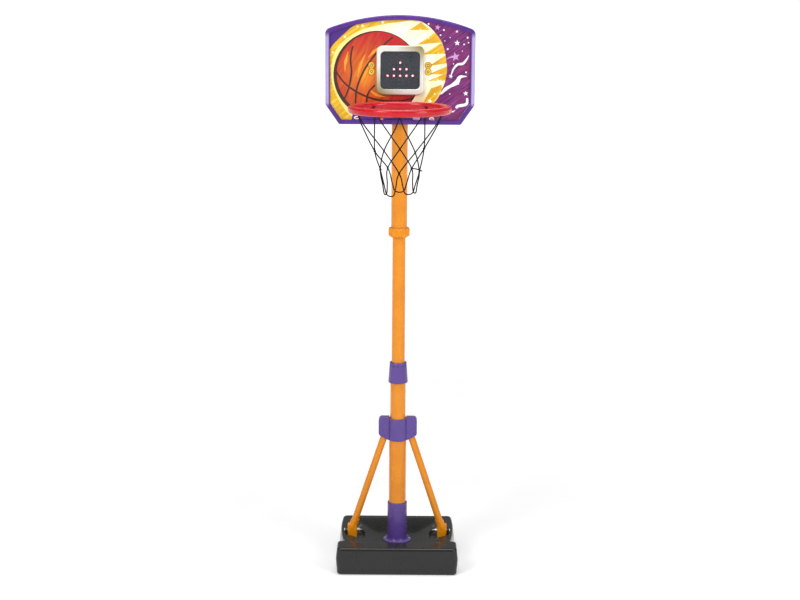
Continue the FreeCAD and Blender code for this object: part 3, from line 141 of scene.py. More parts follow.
def laid_cord(path, radius, reference, strands=3, pitch=0.0095, sides=18, closed=False):
    """Twisted cord along a path: at each step a ring of radius r(a) = R (0.84 + 0.16 |cos(strands/2
    (a - twist))|), where the twist grows by a full turn each pitch."""
    ahead = np.roll(path, -1, axis=0) - np.roll(path, 1, axis=0)
    if not closed:
        ahead[0], ahead[-1] = path[1] - path[0], path[-1] - path[-2]
    tangent = unit(ahead)
    side = unit(np.cross(tangent, reference))
    up = np.cross(side, tangent)
    length = np.concatenate([[0], np.cumsum(np.linalg.norm(np.diff(path, axis=0), axis=1))])
    if closed:
        total = length[-1] + np.linalg.norm(path[0] - path[-1])
        pitch = total / max(round(total / pitch), 1)
    angle = np.linspace(0, 2 * pi, sides, endpoint=False)
    twist = 2 * pi * length / pitch
    lobes = np.abs(np.cos(strands / 2 * (angle[None, :] - twist[:, None])))
    r = radius * (0.84 + 0.16 * lobes)
    ring = (
        path[:, None] + (r * np.cos(angle))[..., None] * side[:, None]
        + (r * np.sin(angle))[..., None] * up[:, None]
    )
    faces = grid_faces(len(path), sides, closed, True)
    if closed:
        return ring, faces
    caps = np.concatenate([ring.reshape(-1, 3), path[:1], path[-1:]])
    hub, n = len(path) * sides, (len(path) - 1) * sides
    j = np.arange(sides)
    nj = (j + 1) % sides
    start = np.stack([np.full(sides, hub), nj, j, j], axis=1)
    end = np.stack([np.full(sides, hub + 1), n + j, n + nj, n + nj], axis=1)
    return caps, np.concatenate([faces, start, end])


def quads_and_triangles(faces):
    """Drops the repeated last corner of the triangles kept among the quads."""
    return [f[:3] if f[2] == f[3] else f for f in np.asarray(faces).tolist()]


# ---------------------------------------------------------------- shader helpers
def new_group(name, inputs, outputs):
    """Empty shader node group with float inputs and typed outputs."""
    group = bpy.data.node_groups.new(name, "ShaderNodeTree")
    for label, value in inputs:
        socket = group.interface.new_socket(label, in_out="INPUT", socket_type="NodeSocketFloat")
        socket.default_value = value
    for label, kind in outputs:
        group.interface.new_socket(label, in_out="OUTPUT", socket_type=kind)
    return group, group.nodes.new("NodeGroupInput"), group.nodes.new("NodeGroupOutput")


class Nodes:
    """Short calls for adding and linking nodes in one tree."""

    def __init__(self, tree):
        self.tree = tree

    def link(self, value, socket):
        if hasattr(value, "node"):
            self.tree.links.new(value, socket)
        else:
            socket.default_value = value

    def add(self, kind, **fields):
        node = self.tree.nodes.new(kind)
        for key, value in fields.items():
            setattr(node, key, value)
        return node

    def where(self):
        return self.add("ShaderNodeTexCoord").outputs["Object"]

    def mapped(self, scale=(1, 1, 1), turn=(0, 0, 0)):
        """Object coordinates turned first and scaled after, so that streaks can run at a slant."""
        turned, scaled = self.add("ShaderNodeMapping"), self.add("ShaderNodeMapping")
        self.link(self.where(), turned.inputs["Vector"])
        turned.inputs["Rotation"].default_value = turn
        self.link(turned.outputs[0], scaled.inputs["Vector"])
        scaled.inputs["Scale"].default_value = scale
        return scaled.outputs[0]

    def axes(self):
        split = self.add("ShaderNodeSeparateXYZ")
        self.link(self.where(), split.inputs[0])
        return split.outputs

    def noise(self, vector, scale, detail=3.0, rough=0.5, distort=0.0):
        node = self.add("ShaderNodeTexNoise")
        self.link(vector, node.inputs["Vector"])
        labels = ("Scale", "Detail", "Roughness", "Distortion")
        for label, value in zip(labels, (scale, detail, rough, distort)):
            self.link(value, node.inputs[label])
        return node.outputs["Fac"]

    def spots(self, vector, scale, feature="F1"):
        node = self.add("ShaderNodeTexVoronoi", feature=feature)
        self.link(vector, node.inputs["Vector"])
        self.link(scale, node.inputs["Scale"])
        return node.outputs["Distance"]

    def spread(self, value, low, high, to_low=0.0, to_high=1.0):
        node = self.add("ShaderNodeMapRange")
        labels = ("Value", "From Min", "From Max", "To Min", "To Max")
        for label, item in zip(labels, (value, low, high, to_low, to_high)):
            self.link(item, node.inputs[label])
        return node.outputs["Result"]

    def sum(self, kind, a, b=0.0):
        node = self.add("ShaderNodeMath", operation=kind)
        self.link(a, node.inputs[0])
        self.link(b, node.inputs[1])
        return node.outputs[0]

    def mix(self, factor, a, b, blend="MIX"):
        node = self.add("ShaderNodeMix", data_type="RGBA", blend_type=blend)
        self.link(factor, node.inputs["Factor"])
        self.link(a, node.inputs["A"])
        self.link(b, node.inputs["B"])
        return node.outputs["Result"]

    def ramp(self, value, stops):
        node = self.add("ShaderNodeValToRGB")
        self.link(value, node.inputs["Fac"])
        elements = node.color_ramp.elements
        while len(elements) < len(stops):
            elements.new(1.0)
        for element, (place, colour) in zip(elements, stops):
            element.position = place
            element.color = colour
        return node.outputs["Color"]

    def group(self, group, **values):
        node = self.add("ShaderNodeGroup", node_tree=group)
        for label, value in values.items():
            self.link(value, node.inputs[label.replace("_", " ")])
        return node.outputs


def rgb(red, green, blue):
    """Linear colour from display values of 0 to 255."""
    srgb = np.array([red, green, blue]) / 255
    linear = np.where(srgb <= 0.04045, srgb / 12.92, ((srgb + 0.055) / 1.055) ** 2.4)
    return (*linear.tolist(), 1.0)


def moulded_surface_group():
    """Fine orange-peel height and a broad mottle, for moulded and painted parts."""
    group, source, out = new_group(
        "Moulded surface", [("Grain", 900.0), ("Waves", 60.0)],
        [("Height", "NodeSocketFloat"), ("Mottle", "NodeSocketFloat")],
    )
    n = Nodes(group)
    where = n.where()
    grain = n.noise(where, source.outputs["Grain"], 4.0, 0.6)
    waves = n.noise(where, source.outputs["Waves"], 2.0, 0.5)
    n.link(n.sum("MULTIPLY_ADD", grain, 0.35), out.inputs["Height"])
    height = out.inputs["Height"].links[0].from_node
    n.link(waves, height.inputs[2])
    n.link(n.noise(where, 14.0, 3.0, 0.55), out.inputs["Mottle"])
    return group


def handling_wear_group():
    """Hairline scratches along three directions, soft smudges, and dust on faces that look up."""
    group, source, out = new_group(
        "Handling wear", [("Scratches", 0.5), ("Dust", 0.4)],
        [("Scratch", "NodeSocketFloat"), ("Smudge", "NodeSocketFloat"), ("Dust", "NodeSocketFloat")],
    )
    n = Nodes(group)
    lines = []
    directions = (
        ((0.3, 0.2, 0.5), (900, 14, 14)), ((1.1, 0.6, 2.0), (14, 750, 20)), ((0.5, 1.3, 0.9), (20, 16, 820)),
    )
    for turn, stretch in directions:
        streak = n.noise(n.mapped(stretch, turn), 1.0, 2.0, 0.5)
        lines.append(n.spread(streak, 0.70, 0.76))
    all_lines = n.sum("MAXIMUM", n.sum("MAXIMUM", lines[0], lines[1]), lines[2])
    patches = n.spread(n.noise(n.where(), 9.0, 2.0), 0.48, 0.62)
    scratch = n.sum("MULTIPLY", n.sum("MULTIPLY", all_lines, patches), source.outputs["Scratches"])
    n.link(scratch, out.inputs["Scratch"])
    n.link(n.spread(n.noise(n.where(), 22.0, 5.0, 0.6, 0.4), 0.35, 0.7), out.inputs["Smudge"])
    split = n.add("ShaderNodeSeparateXYZ")
    n.link(n.add("ShaderNodeNewGeometry").outputs["Normal"], split.inputs[0])
    upward = n.spread(split.outputs["Z"], 0.55, 0.98)
    specks = n.spread(n.noise(n.where(), 260.0, 6.0, 0.7), 0.42, 0.75)
    dust = n.sum("MULTIPLY", n.sum("MULTIPLY", upward, specks), source.outputs["Dust"])
    n.link(dust, out.inputs["Dust"])
    return group


def ink_grain_group():
    """Faint rosette of printed dots and the slow density drift of a printed film."""
    group, source, out = new_group(
        "Ink grain", [("Dots", 1500.0)], [("Rosette", "NodeSocketFloat"), ("Drift", "NodeSocketFloat")],
    )
    n = Nodes(group)
    dots = n.spots(n.mapped((1, 0.001, 1), (0, 0.5, 0)), source.outputs["Dots"])
    n.link(n.spread(dots, 0.2, 0.7), out.inputs["Rosette"])
    n.link(n.noise(n.where(), 30.0, 2.0), out.inputs["Drift"])
    return group


MOULDED = moulded_surface_group()
WEAR = handling_wear_group()
INK = ink_grain_group()


def start_material(name):
    material = bpy.data.materials.new(name)
    material.use_nodes = True
    shader = material.node_tree.nodes["Principled BSDF"]
    return material, Nodes(material.node_tree), shader


def bumped(n, shader, height, strength, distance=0.0004):
    bump = n.add("ShaderNodeBump")
    bump.inputs["Strength"].default_value = strength
    bump.inputs["Distance"].default_value = distance
    n.link(height, bump.inputs["Height"])
    n.link(bump.outputs["Normal"], shader.inputs["Normal"])


DUST = (0.55, 0.52, 0.48, 1.0)


def finish(name, colour, rough=(0.25, 0.4), metal=0.0, coat=0.0, grain=900.0, bump=0.25, scratches=0.5,
           dust=0.3, shade=0.75, shine=0.5):
    """Moulded, painted or plated finish: mottled colour, smudged gloss, scratches, dust and fine grain."""
    material, n, shader = start_material(name)
    surface = n.group(MOULDED, Grain=grain)
    wear = n.group(WEAR, Scratches=scratches, Dust=dust)
    dark = (colour[0] * shade, colour[1] * shade, colour[2] * shade, 1.0)
    pale = tuple(min(1.0, c * 0.6 + 0.28) for c in colour[:3]) + (1.0,)
    base = n.mix(n.spread(surface["Mottle"], 0.3, 0.7), colour, dark)
    base = n.mix(n.sum("MULTIPLY", wear["Scratch"], 0.35), base, pale)
    base = n.mix(wear["Dust"], base, DUST)
    n.link(base, shader.inputs["Base Color"])
    gloss = n.spread(wear["Smudge"], 0.0, 1.0, rough[0], rough[1])
    gloss = n.sum("ADD", gloss, n.sum("MULTIPLY", wear["Dust"], 0.4))
    n.link(gloss, shader.inputs["Roughness"])
    shader.inputs["Metallic"].default_value = metal
    shader.inputs["Specular IOR Level"].default_value = shine
    shader.inputs["Coat Weight"].default_value = coat
    shader.inputs["Coat Roughness"].default_value = 0.08
    bumped(n, shader, surface["Height"], bump)
    return material


def tube_paint():
    """Gloss orange enamel on drawn tube, with faint lengthwise draw lines."""
    material, n, shader = start_material("orange_enamel")
    surface = n.group(MOULDED, Grain=700.0, Waves=35.0)
    wear = n.group(WEAR, Scratches=0.35, Dust=0.05)
    draw = n.noise(n.mapped((420, 420, 5)), 1.0, 3.0)
    base = n.mix(n.spread(surface["Mottle"], 0.3, 0.7), rgb(224, 140, 5), rgb(212, 126, 4))
    base = n.mix(n.spread(draw, 0.35, 0.8, 0.0, 0.22), base, rgb(186, 104, 3))
    base = n.mix(n.sum("MULTIPLY", wear["Scratch"], 0.35), base, rgb(244, 190, 100))
    n.link(base, shader.inputs["Base Color"])
    n.link(n.spread(wear["Smudge"], 0.0, 1.0, 0.2, 0.32), shader.inputs["Roughness"])
    shader.inputs["Specular IOR Level"].default_value = 0.25
    shader.inputs["Coat Weight"].default_value = 0.3
    shader.inputs["Coat Roughness"].default_value = 0.06
    bumped(n, shader, n.sum("ADD", surface["Height"], n.sum("MULTIPLY", draw, 0.6)), 0.10)
    return material


def zinc_plate():
    """Bright zinc plating: fine spangle in the roughness and a bluish-yellow drift of colour."""
    material, n, shader = start_material("zinc_plate")
    surface = n.group(MOULDED, Grain=1800.0)
    wear = n.group(WEAR, Scratches=0.8, Dust=0.1)
    spangle = n.spots(n.where(), 1400.0)
    base = n.mix(n.spread(surface["Mottle"], 0.35, 0.65), rgb(205, 208, 212), rgb(214, 206, 180))
    base = n.mix(n.spread(spangle, 0.1, 0.7, 0.0, 0.35), base, rgb(150, 152, 156))
    n.link(base, shader.inputs["Base Color"])
    shader.inputs["Metallic"].default_value = 1.0
    n.link(n.spread(n.sum("ADD", spangle, wear["Smudge"]), 0.2, 1.4, 0.18, 0.42), shader.inputs["Roughness"])
    bumped(n, shader, n.sum("ADD", surface["Height"], n.sum("MULTIPLY", wear["Scratch"], -0.8)), 0.2)
    return material


def board_moulding():
    """Purple moulding whose straight upright borders are paler: a painted highlight standing in for side light
    reflected on their bevels.
    """
    material, n, shader = start_material("board_moulding")
    surface = n.group(MOULDED, Grain=650.0)
    wear = n.group(WEAR, Scratches=0.4, Dust=0.15)
    axes = n.axes()
    # Painted highlight: a paler lavender band on the upright borders, where the bevels would reflect the side lights.
    side = n.spread(n.sum("ABSOLUTE", axes["X"]), 0.2125, 0.2165)
    low = n.spread(axes["Z"], 1.450, 1.462)
    high = n.spread(axes["Z"], 1.672, 1.656)
    painted_bevel_highlight = n.sum("MULTIPLY", side, n.sum("MULTIPLY", low, high))
    base = n.mix(n.spread(surface["Mottle"], 0.3, 0.7), rgb(82, 42, 132), rgb(70, 32, 114))
    base = n.mix(n.sum("MULTIPLY", painted_bevel_highlight, n.spread(surface["Mottle"], 0.2, 0.8, 0.8, 1.0)), base, rgb(166, 154, 198))
    base = n.mix(n.sum("MULTIPLY", wear["Scratch"], 0.3), base, rgb(190, 180, 215))
    n.link(base, shader.inputs["Base Color"])
    n.link(n.spread(wear["Smudge"], 0.0, 1.0, 0.2, 0.34), shader.inputs["Roughness"])
    shader.inputs["Specular IOR Level"].default_value = 0.25
    shader.inputs["Coat Weight"].default_value = 0.2
    bumped(n, shader, surface["Height"], 0.12)
    return material


def pearl_moulding():
    """Pearl white plastic with an olive-gold cast towards two opposite corners: painted reflection, the shaded mirror
    image a chrome-like bezel would show.
    """
    material, n, shader = start_material("pearl_moulding")
    surface = n.group(MOULDED, Grain=1200.0)
    wear = n.group(WEAR, Scratches=0.4, Dust=0.1)
    axes = n.axes()
    rise = n.sum("SUBTRACT", axes["Z"], float(BOARD_MIDDLE[2]))
    # Painted reflection: olive-gold shading towards the upper right and lower left corners, where x times the height
    # above the middle is positive.
    corner = n.spread(n.sum("MULTIPLY", axes["X"], rise), -0.0008, 0.0042)
    base = n.mix(n.spread(surface["Mottle"], 0.3, 0.7), rgb(222, 220, 212), rgb(206, 204, 196))
    base = n.mix(corner, base, rgb(138, 124, 66))
    base = n.mix(n.sum("MULTIPLY", wear["Scratch"], 0.3), base, rgb(240, 238, 230))
    n.link(base, shader.inputs["Base Color"])
    n.link(n.spread(wear["Smudge"], 0.0, 1.0, 0.16, 0.28), shader.inputs["Roughness"])
    shader.inputs["Metallic"].default_value = 0.25
    shader.inputs["Coat Weight"].default_value = 0.6
    shader.inputs["Coat Roughness"].default_value = 0.06
    bumped(n, shader, surface["Height"], 0.08)
    return material


def smoked_window():
    """Dark tinted acrylic that lets the lamps through."""
    material, n, shader = start_material("smoked_acrylic")
    wear = n.group(WEAR, Scratches=0.7, Dust=0.2)
    tint = n.mix(n.spread(n.noise(n.where(), 18.0), 0.3, 0.7), rgb(40, 45, 52), rgb(52, 58, 66))
    n.link(n.mix(n.sum("MULTIPLY", wear["Scratch"], 0.25), tint, rgb(120, 124, 130)), shader.inputs["Base Color"])
    n.link(n.spread(wear["Smudge"], 0.0, 1.0, 0.07, 0.2), shader.inputs["Roughness"])
    n.link(n.spread(wear["Smudge"], 0.0, 1.0, 0.56, 0.64), shader.inputs["Alpha"])
    shader.inputs["IOR"].default_value = 1.49
    shader.inputs["Coat Weight"].default_value = 0.3
    bumped(n, shader, n.noise(n.where(), 45.0), 0.03)
    return material


def lamp_glow():
    """Lit lamp: pale pink, mottled with a stronger pink."""
    material, n, shader = start_material("lamp_glow")
    hot = n.noise(n.where(), 800.0)
    base = n.mix(n.spread(hot, 0.3, 0.7, 0.0, 0.4), rgb(255, 176, 186), rgb(255, 128, 140))
    n.link(base, shader.inputs["Base Color"])
    n.link(base, shader.inputs["Emission Color"])
    shader.inputs["Emission Strength"].default_value = 14.0
    n.link(n.spread(hot, 0.0, 1.0, 0.2, 0.3), shader.inputs["Roughness"])
    return material


def net_twine():
    """Black polyester twine: fibres along the lay and a faint sheen."""
    material, n, shader = start_material("net_twine")
    fibres = n.noise(n.where(), 2400.0, 5.0, 0.7)
    fuzz = n.noise(n.where(), 120.0, 3.0)
    base = n.mix(n.spread(fibres, 0.3, 0.7), rgb(8, 9, 9), rgb(26, 27, 28))
    base = n.mix(n.spread(fuzz, 0.5, 0.8, 0.0, 0.3), base, rgb(44, 45, 46))
    n.link(base, shader.inputs["Base Color"])
    n.link(n.spread(fibres, 0.2, 0.8, 0.55, 0.8), shader.inputs["Roughness"])
    shader.inputs["Specular IOR Level"].default_value = 0.15
    bumped(n, shader, fibres, 0.5, 0.0003)
    return material


def lamp_halo():
    """Dark red glow scattered on the board round each lamp."""
    material, n, shader = start_material("lamp_halo")
    glow = n.mix(n.spread(n.noise(n.where(), 500.0), 0.3, 0.7), rgb(150, 16, 22), rgb(110, 8, 16))
    n.link(glow, shader.inputs["Base Color"])
    n.link(glow, shader.inputs["Emission Color"])
    # Painted glow: the collar gives off a dim red light of its own, standing in for the lamps' scattered light.
    shader.inputs["Emission Strength"].default_value = 0.5
    n.link(n.spread(n.noise(n.where(), 900.0), 0.3, 0.7, 0.4, 0.55), shader.inputs["Roughness"])
    return material


# ---------------------------------------------------------------- printed inks
def ink(name, colour_of):
    """Glossy printed ink whose colour comes from colour_of(nodes)."""
    material, n, shader = start_material(name)
    grain = n.group(INK)
    wear = n.group(WEAR, Scratches=0.5, Dust=0.05)
    colour = colour_of(n)
    shaded = n.mix(n.spread(grain["Drift"], 0.3, 0.7, 0.0, 0.12), colour, (0.0, 0.0, 0.0, 1.0))
    speckled = n.mix(n.sum("MULTIPLY", grain["Rosette"], 0.02), shaded, (1.0, 1.0, 1.0, 1.0))
    n.link(n.mix(n.sum("MULTIPLY", wear["Scratch"], 0.12), speckled, rgb(225, 222, 228)), shader.inputs["Base Color"])
    n.link(n.spread(wear["Smudge"], 0.0, 1.0, 0.16, 0.28), shader.inputs["Roughness"])
    shader.inputs["Specular IOR Level"].default_value = 0.2
    shader.inputs["Coat Weight"].default_value = 0.15
    shader.inputs["Coat Roughness"].default_value = 0.05
    bumped(n, shader, grain["Rosette"], 0.02, 0.0001)
    return material


def from_point(n, x, z, reach):
    """0 at a point of the board, 1 at a distance of reach, both in millimetres from its middle."""
    node = n.add("ShaderNodeVectorMath", operation="DISTANCE")
    flat = n.mapped((1, 0, 1))
    n.link(flat, node.inputs[0])
    node.inputs[1].default_value = (x * MM, 0, BOARD_MIDDLE[2] + z * MM)
    return n.spread(node.outputs["Value"], 0.0, reach * MM)


def across(n, turn, scale, stretch=1.0):
    """Streak noise running along a direction of the board, turned about Y."""
    return n.noise(n.mapped((scale, 0.0, scale * stretch), (0, turn, 0)), 1.0, 3.0, 0.55)


def ball_colour(n):
    """Orange in the ball's lit middle, red towards its top, right and bottom, with slanting brush streaks."""
    near = from_point(n, -105, -20, 150)
    streak = n.spread(across(n, radians(-25), 95, 0.14), 0.35, 0.65, -0.16, 0.16)
    tone = n.sum("ADD", near, streak)
    return n.ramp(tone, [
        (0.0, rgb(212, 122, 6)), (0.32, rgb(198, 88, 8)), (0.6, rgb(182, 56, 14)), (0.86, rgb(176, 16, 22)),
    ])


def gold_colour(n):
    streak = across(n, radians(-55), 120, 0.12)
    return n.ramp(streak, [(0.3, rgb(196, 146, 10)), (0.5, rgb(212, 162, 16)), (0.7, rgb(236, 200, 56))])


def cream_colour(n):
    near = from_point(n, 10, 20, 190)
    streak = n.spread(across(n, radians(-55), 70, 0.1), 0.35, 0.65, -0.12, 0.12)
    return n.ramp(n.sum("ADD", near, streak), [
        (0.2, rgb(240, 242, 228)), (0.6, rgb(240, 236, 194)), (1.0, rgb(232, 214, 118)),
    ])


def night_colour(n):
    """Magenta night with slanting streaks, fading to plain purple on the left and along the edges."""
    streak = across(n, radians(-55), 260, 0.05)
    fog = n.noise(n.mapped((18, 0, 18)), 1.0, 3.0)
    night = n.ramp(streak, [(0.3, rgb(62, 8, 66)), (0.48, rgb(98, 20, 94)), (0.72, rgb(152, 58, 130))])
    night = n.mix(n.spread(fog, 0.45, 0.75, 0.0, 0.45), night, rgb(132, 24, 84))
    right = n.spread(n.axes()["X"], 0.03, 0.09)
    return n.mix(right, rgb(64, 24, 116), night)


def plain_colour(colour, other, scale=60.0):
    return lambda n: n.mix(n.spread(n.noise(n.where(), scale), 0.3, 0.7), colour, other)


INKS = {
    "night": ink("ink_night", night_colour),
    "gold": ink("ink_gold", gold_colour),
    "cream": ink("ink_cream", cream_colour),
    "outline": ink("ink_outline", plain_colour(rgb(66, 30, 22), rgb(48, 22, 20))),
    "ball": ink("ink_ball", ball_colour),
    "flame": ink("ink_flame", plain_colour(rgb(246, 158, 34), rgb(240, 136, 20))),
    "star": ink("ink_star", plain_colour(rgb(250, 246, 214), rgb(246, 238, 180))),
    "lilac": ink("ink_lilac", plain_colour(rgb(196, 150, 200), rgb(178, 130, 190))),
    "white": ink("ink_white", plain_colour(rgb(244, 240, 248), rgb(232, 224, 240))),
    "red": ink("ink_red", plain_colour(rgb(196, 24, 34), rgb(176, 18, 36))),
}


# ---------------------------------------------------------------- the print's outlines
# All in mm from the board's middle: x to the player's right, then z upwards.
def ellipse(x, z, a, b=None, count=120):
    """Points (x + a cos t, z + b sin t)."""
    t = np.linspace(0, 2 * pi, count, endpoint=False)
    return np.stack([x + a * np.cos(t), z + (b or a) * np.sin(t)], axis=1)


def star(x, z, size, turn):
    """Five-pointed star: its spokes are by turns size and 0.42 size long."""
    spokes = np.arange(10)
    t = radians(turn) + spokes * pi / 5
    r = np.where(spokes % 2 == 0, size, size * 0.42)
    return np.stack([x + r * np.cos(t), z + r * np.sin(t)], axis=1)


def band(knots, widths):
    """Ribbon round a smooth curve: each point moves to both sides by half its width along the normal."""
    line = smooth_path(knots, 2.0)
    ahead = unit(np.gradient(line, axis=0))
    normal = np.stack([-ahead[:, 1], ahead[:, 0]], axis=1)
    share = np.linspace(0, 1, len(line))
    half = np.interp(share, np.linspace(0, 1, len(widths)), widths)[:, None] / 2
    return np.concatenate([line + normal * half, (line - normal * half)[::-1]])


BURST = (
    (140, 13), (127, 77), (99, 117), (65, 143), (0, 165), (-60, 158), (-127, 137), (-164, 111), (-210, 62),
    (-230, 0), (-232, -70), (-205, -130), (-150, -165), (-60, -175), (40, -150), (105, -94), (127, -54),
    (137, -24),
)
GLARE = (
    (-207, -5), (-203, 30), (-191, 62), (-165, 90), (-139, 108), (-94, 126), (-40, 138), (4, 143), (60, 150),
    (150, 120), (175, 0), (140, -110), (70, -150), (0, -160), (-100, -165), (-150, -135), (-172, -110),
    (-192, -75), (-204, -40),
)
BALL = (-69.5, -14.5, 131.0)
BALL_FACE = (-66.0, -11.5, 124.5)
SEAM = 5.0
GOLD_RAYS = (
    ((26, 119), (61, 143), (88, 120)),
    ((50, 76), (104, 112), (132, 84)),
    ((66, 47), (124, 82), (141, 50)),
    ((84, 12), (136, 46), (142, 22)),
    ((84, -12), (143, 14), (143, -12)),
    ((82, -32), (142, -6), (138, -30)),
    ((93, -54), (124, -42), (127, -54), (105, -94), (72, -94)),
    ((84, -100), (110, -84), (92, -122)),
)
SEAMS = (
    ((-142, 71), (-147, 50), (-149, 25), (-146, -5), (-152, -45), (-162, -75), (-170, -88)),
    ((-22, 99), (-57, 68), (-87, 31), (-109, -2), (-124, -36), (-132, -66), (-134, -100), (-133, -118)),
    ((-196, 2), (-185, -17), (-170, -36), (-149, -54), (-118, -72), (-81, -86), (-42, -92), (4, -92), (46, -80)),
    ((-75, -45), (-90, -60), (-98, -76), (-100, -97), (-97, -130)),
)
FLAMES = (
    ((-104, 48), (-118, 18), (-128, -22)),
    ((-86, 30), (-102, -4), (-116, -40)),
    ((-156, 56), (-164, 22), (-166, -6)),
    ((-92, -60), (-70, -74), (-44, -80)),
    ((-60, 72), (-80, 54), (-98, 36)),
)
CREAM_STARS = (
    (81, 102, 11), (116, 45, 9), (116, -34, 11), (90, -92, 9), (-113, 131, 6), (-128, 129, 4), (-53, 142, 6),
    (-166, 98, 5), (-202, 52, 4), (96, 74, 4), (60, 120, 4), (104, -70, 4),
)
LILAC_STARS = ((111, 128, 9, 80), (165, 41, 14, 100))
WHITE_STARS = ((170, 82, 9, 90), (152, -17, 7, 70), (198, -68, 8, 95))
WHITE_DOTS = (
    (84, 138, 2.6), (130, 120, 2.4), (169, 116, 3.0), (120, 105, 2.2), (142, 64, 2.6), (201, 98, 2.6),
    (191, 78, 2.4), (204, 83, 1.8), (198, -5, 2.6), (160, 20, 1.6), (176, -40, 1.8), (150, -70, 1.6),
    (149, 98, 1.5), (186, 58, 1.5), (133, 88, 1.4), (157, 1, 1.5),
)
STAR_TAIL = (((160, 41), (146, 38), (134, 31)), (5.0, 3.0, 0.6))
RIBBONS = (
    (((152, -17), (160, 4), (172, 18), (188, 21), (200, 35), (205, 45)), (2.5, 4.5, 6.0, 7.5, 5.5, 2.0)),
    (((122, -71), (139, -54), (160, -42), (172, -33), (180, -19), (200, -17)), (3, 10, 8, 14, 9, 2)),
    (((169, -112), (176, -106), (200, -100), (203, -82)), (7.0, 9.0, 8.0, 6.0)),
    (((148, -122), (154, -117), (158, -124), (166, -119)), (2.0, 3.4, 3.4, 1.6)),
)
BADGES = (-86.0, 84.0)
BOTTOM_STRIP = np.array([(-150.0, -170.0), (-143.0, -133.0), (160.0, -133.0), (160.0, -170.0)])


def print_layers():
    """(ink, outlines, clip) from the bottom layer up; a clip outline limits the layer to its inside."""
    burst = smooth_path(BURST, 4.0, closed=True)
    ball = ellipse(*BALL_FACE, count=170)
    return [
        ("gold", [burst], None),
        ("cream", [smooth_path(GLARE, 4.0, closed=True)], burst),
        ("gold", [np.array(ray, dtype=float) for ray in GOLD_RAYS], burst),
        ("star", [star(x, z, size, 90 + 7 * x) for x, z, size in CREAM_STARS], None),
        ("outline", [ellipse(*BALL, count=170)], None),
        ("ball", [ball], None),
        ("flame", [band(line, (0.5, 9.0, 0.5)) for line in FLAMES], ball),
        ("outline", [band(line, (SEAM, SEAM * 1.15, SEAM)) for line in SEAMS], ball),
        ("lilac", [star(*item) for item in LILAC_STARS] + [band(*STAR_TAIL)], None),
        ("white", [star(*item) for item in WHITE_STARS], None),
        ("white", [ellipse(x, z, r, count=20) for x, z, r in WHITE_DOTS], None),
        ("white", [band(line, widths) for line, widths in RIBBONS], None),
        ("outline", [ellipse(197, 18, 2.5, count=20)], None),
        ("outline", badges(1.2), None),
        ("gold", badges(0.0), None),
        ("outline", badges(-5.8), None),
        ("star", badges(-7.8), None),
        ("night", [BOTTOM_STRIP], None),
        ("white", [ellipse(-130, -143, 9, 5, 30), ellipse(96, -146, 7.5, 6, 30)], None),
        ("red", [ellipse(-54, -147, 8, 6.5, 30), ellipse(-130, -143, 4.5, 2.4, 24)], None),
        ("lilac", [ellipse(50, -145, 11, 5, 30)], None),
        ("gold", [ellipse(96, -146, 5, 4, 24), ellipse(-54, -147, 3.6, 2.8, 24)], None),
    ]


def badges(grow):
    """Two stacked lobes on each side of the display, grown outwards by grow."""
    return [ellipse(x, 5 + side * 9.5, 9.2 + grow, 9.8 + grow, 40) for x in BADGES for side in (-1, 1)]


def inside(points, outline):
    """Even-odd test of many points against one outline, as whole arrays."""
    x, z = points[:, :1], points[:, 1:]
    x0, z0 = outline[:, 0], outline[:, 1]
    x1, z1 = np.roll(x0, -1), np.roll(z0, -1)
    crosses = (z0 > z) != (z1 > z)
    slope = (x1 - x0) / np.where(z1 == z0, 1e-9, z1 - z0)
    return (np.sum(crosses & (x < x0 + (z - z0) * slope), axis=1) % 2) == 1


def refined(outline, step=4.0):
    """The outline with its long sides divided into steps."""
    ahead = np.roll(outline, -1, axis=0)
    pieces = []
    for a, b in zip(outline, ahead):
        count = max(int(np.linalg.norm(b - a) / step), 1)
        pieces.append(a + (b - a) * np.linspace(0, 1, count, endpoint=False)[:, None])
    return np.concatenate(pieces)


def film_outline(inset):
    """Board outline in mm from its middle: crowned top, rounded shoulders, chamfered lower corners."""
    half_x, half_z = (BOARD_HIGH[0] - BOARD_LOW[0]) / 2 / MM, (BOARD_HIGH[2] - BOARD_LOW[2]) / 2 / MM
    drop, chamfer_x, chamfer_z, shoulder = 43.8, 41.0, 59.0, 18.0
    x, z = half_x - inset, half_z - inset
    low_x = x - chamfer_x + inset * 0.42
    chord = half_x
    radius = (chord ** 2 + drop ** 2) / (2 * drop)
    centre = half_z - radius
    reach = radius - inset
    r = max(shoulder - inset, 2.0)
    corner_x = x - r
    corner_z = centre + np.sqrt((reach - r) ** 2 - corner_x ** 2)
    top_angle = atan2(corner_z - centre, corner_x)
    t = np.linspace(top_angle, pi - top_angle, 90)
    crown = np.stack([reach * np.cos(t), centre + reach * np.sin(t)], axis=1)
    t = np.linspace(0, top_angle, 8, endpoint=False)
    right = np.stack([corner_x + r * np.cos(t), corner_z + r * np.sin(t)], axis=1)
    left = right[::-1] * [-1, 1]
    low = np.array([
        (-x, -z - inset + chamfer_z + inset * 0.42), (-low_x, -z), (low_x, -z),
        (x, -z - inset + chamfer_z + inset * 0.42),
    ])
    return np.concatenate([right, crown, left, low])


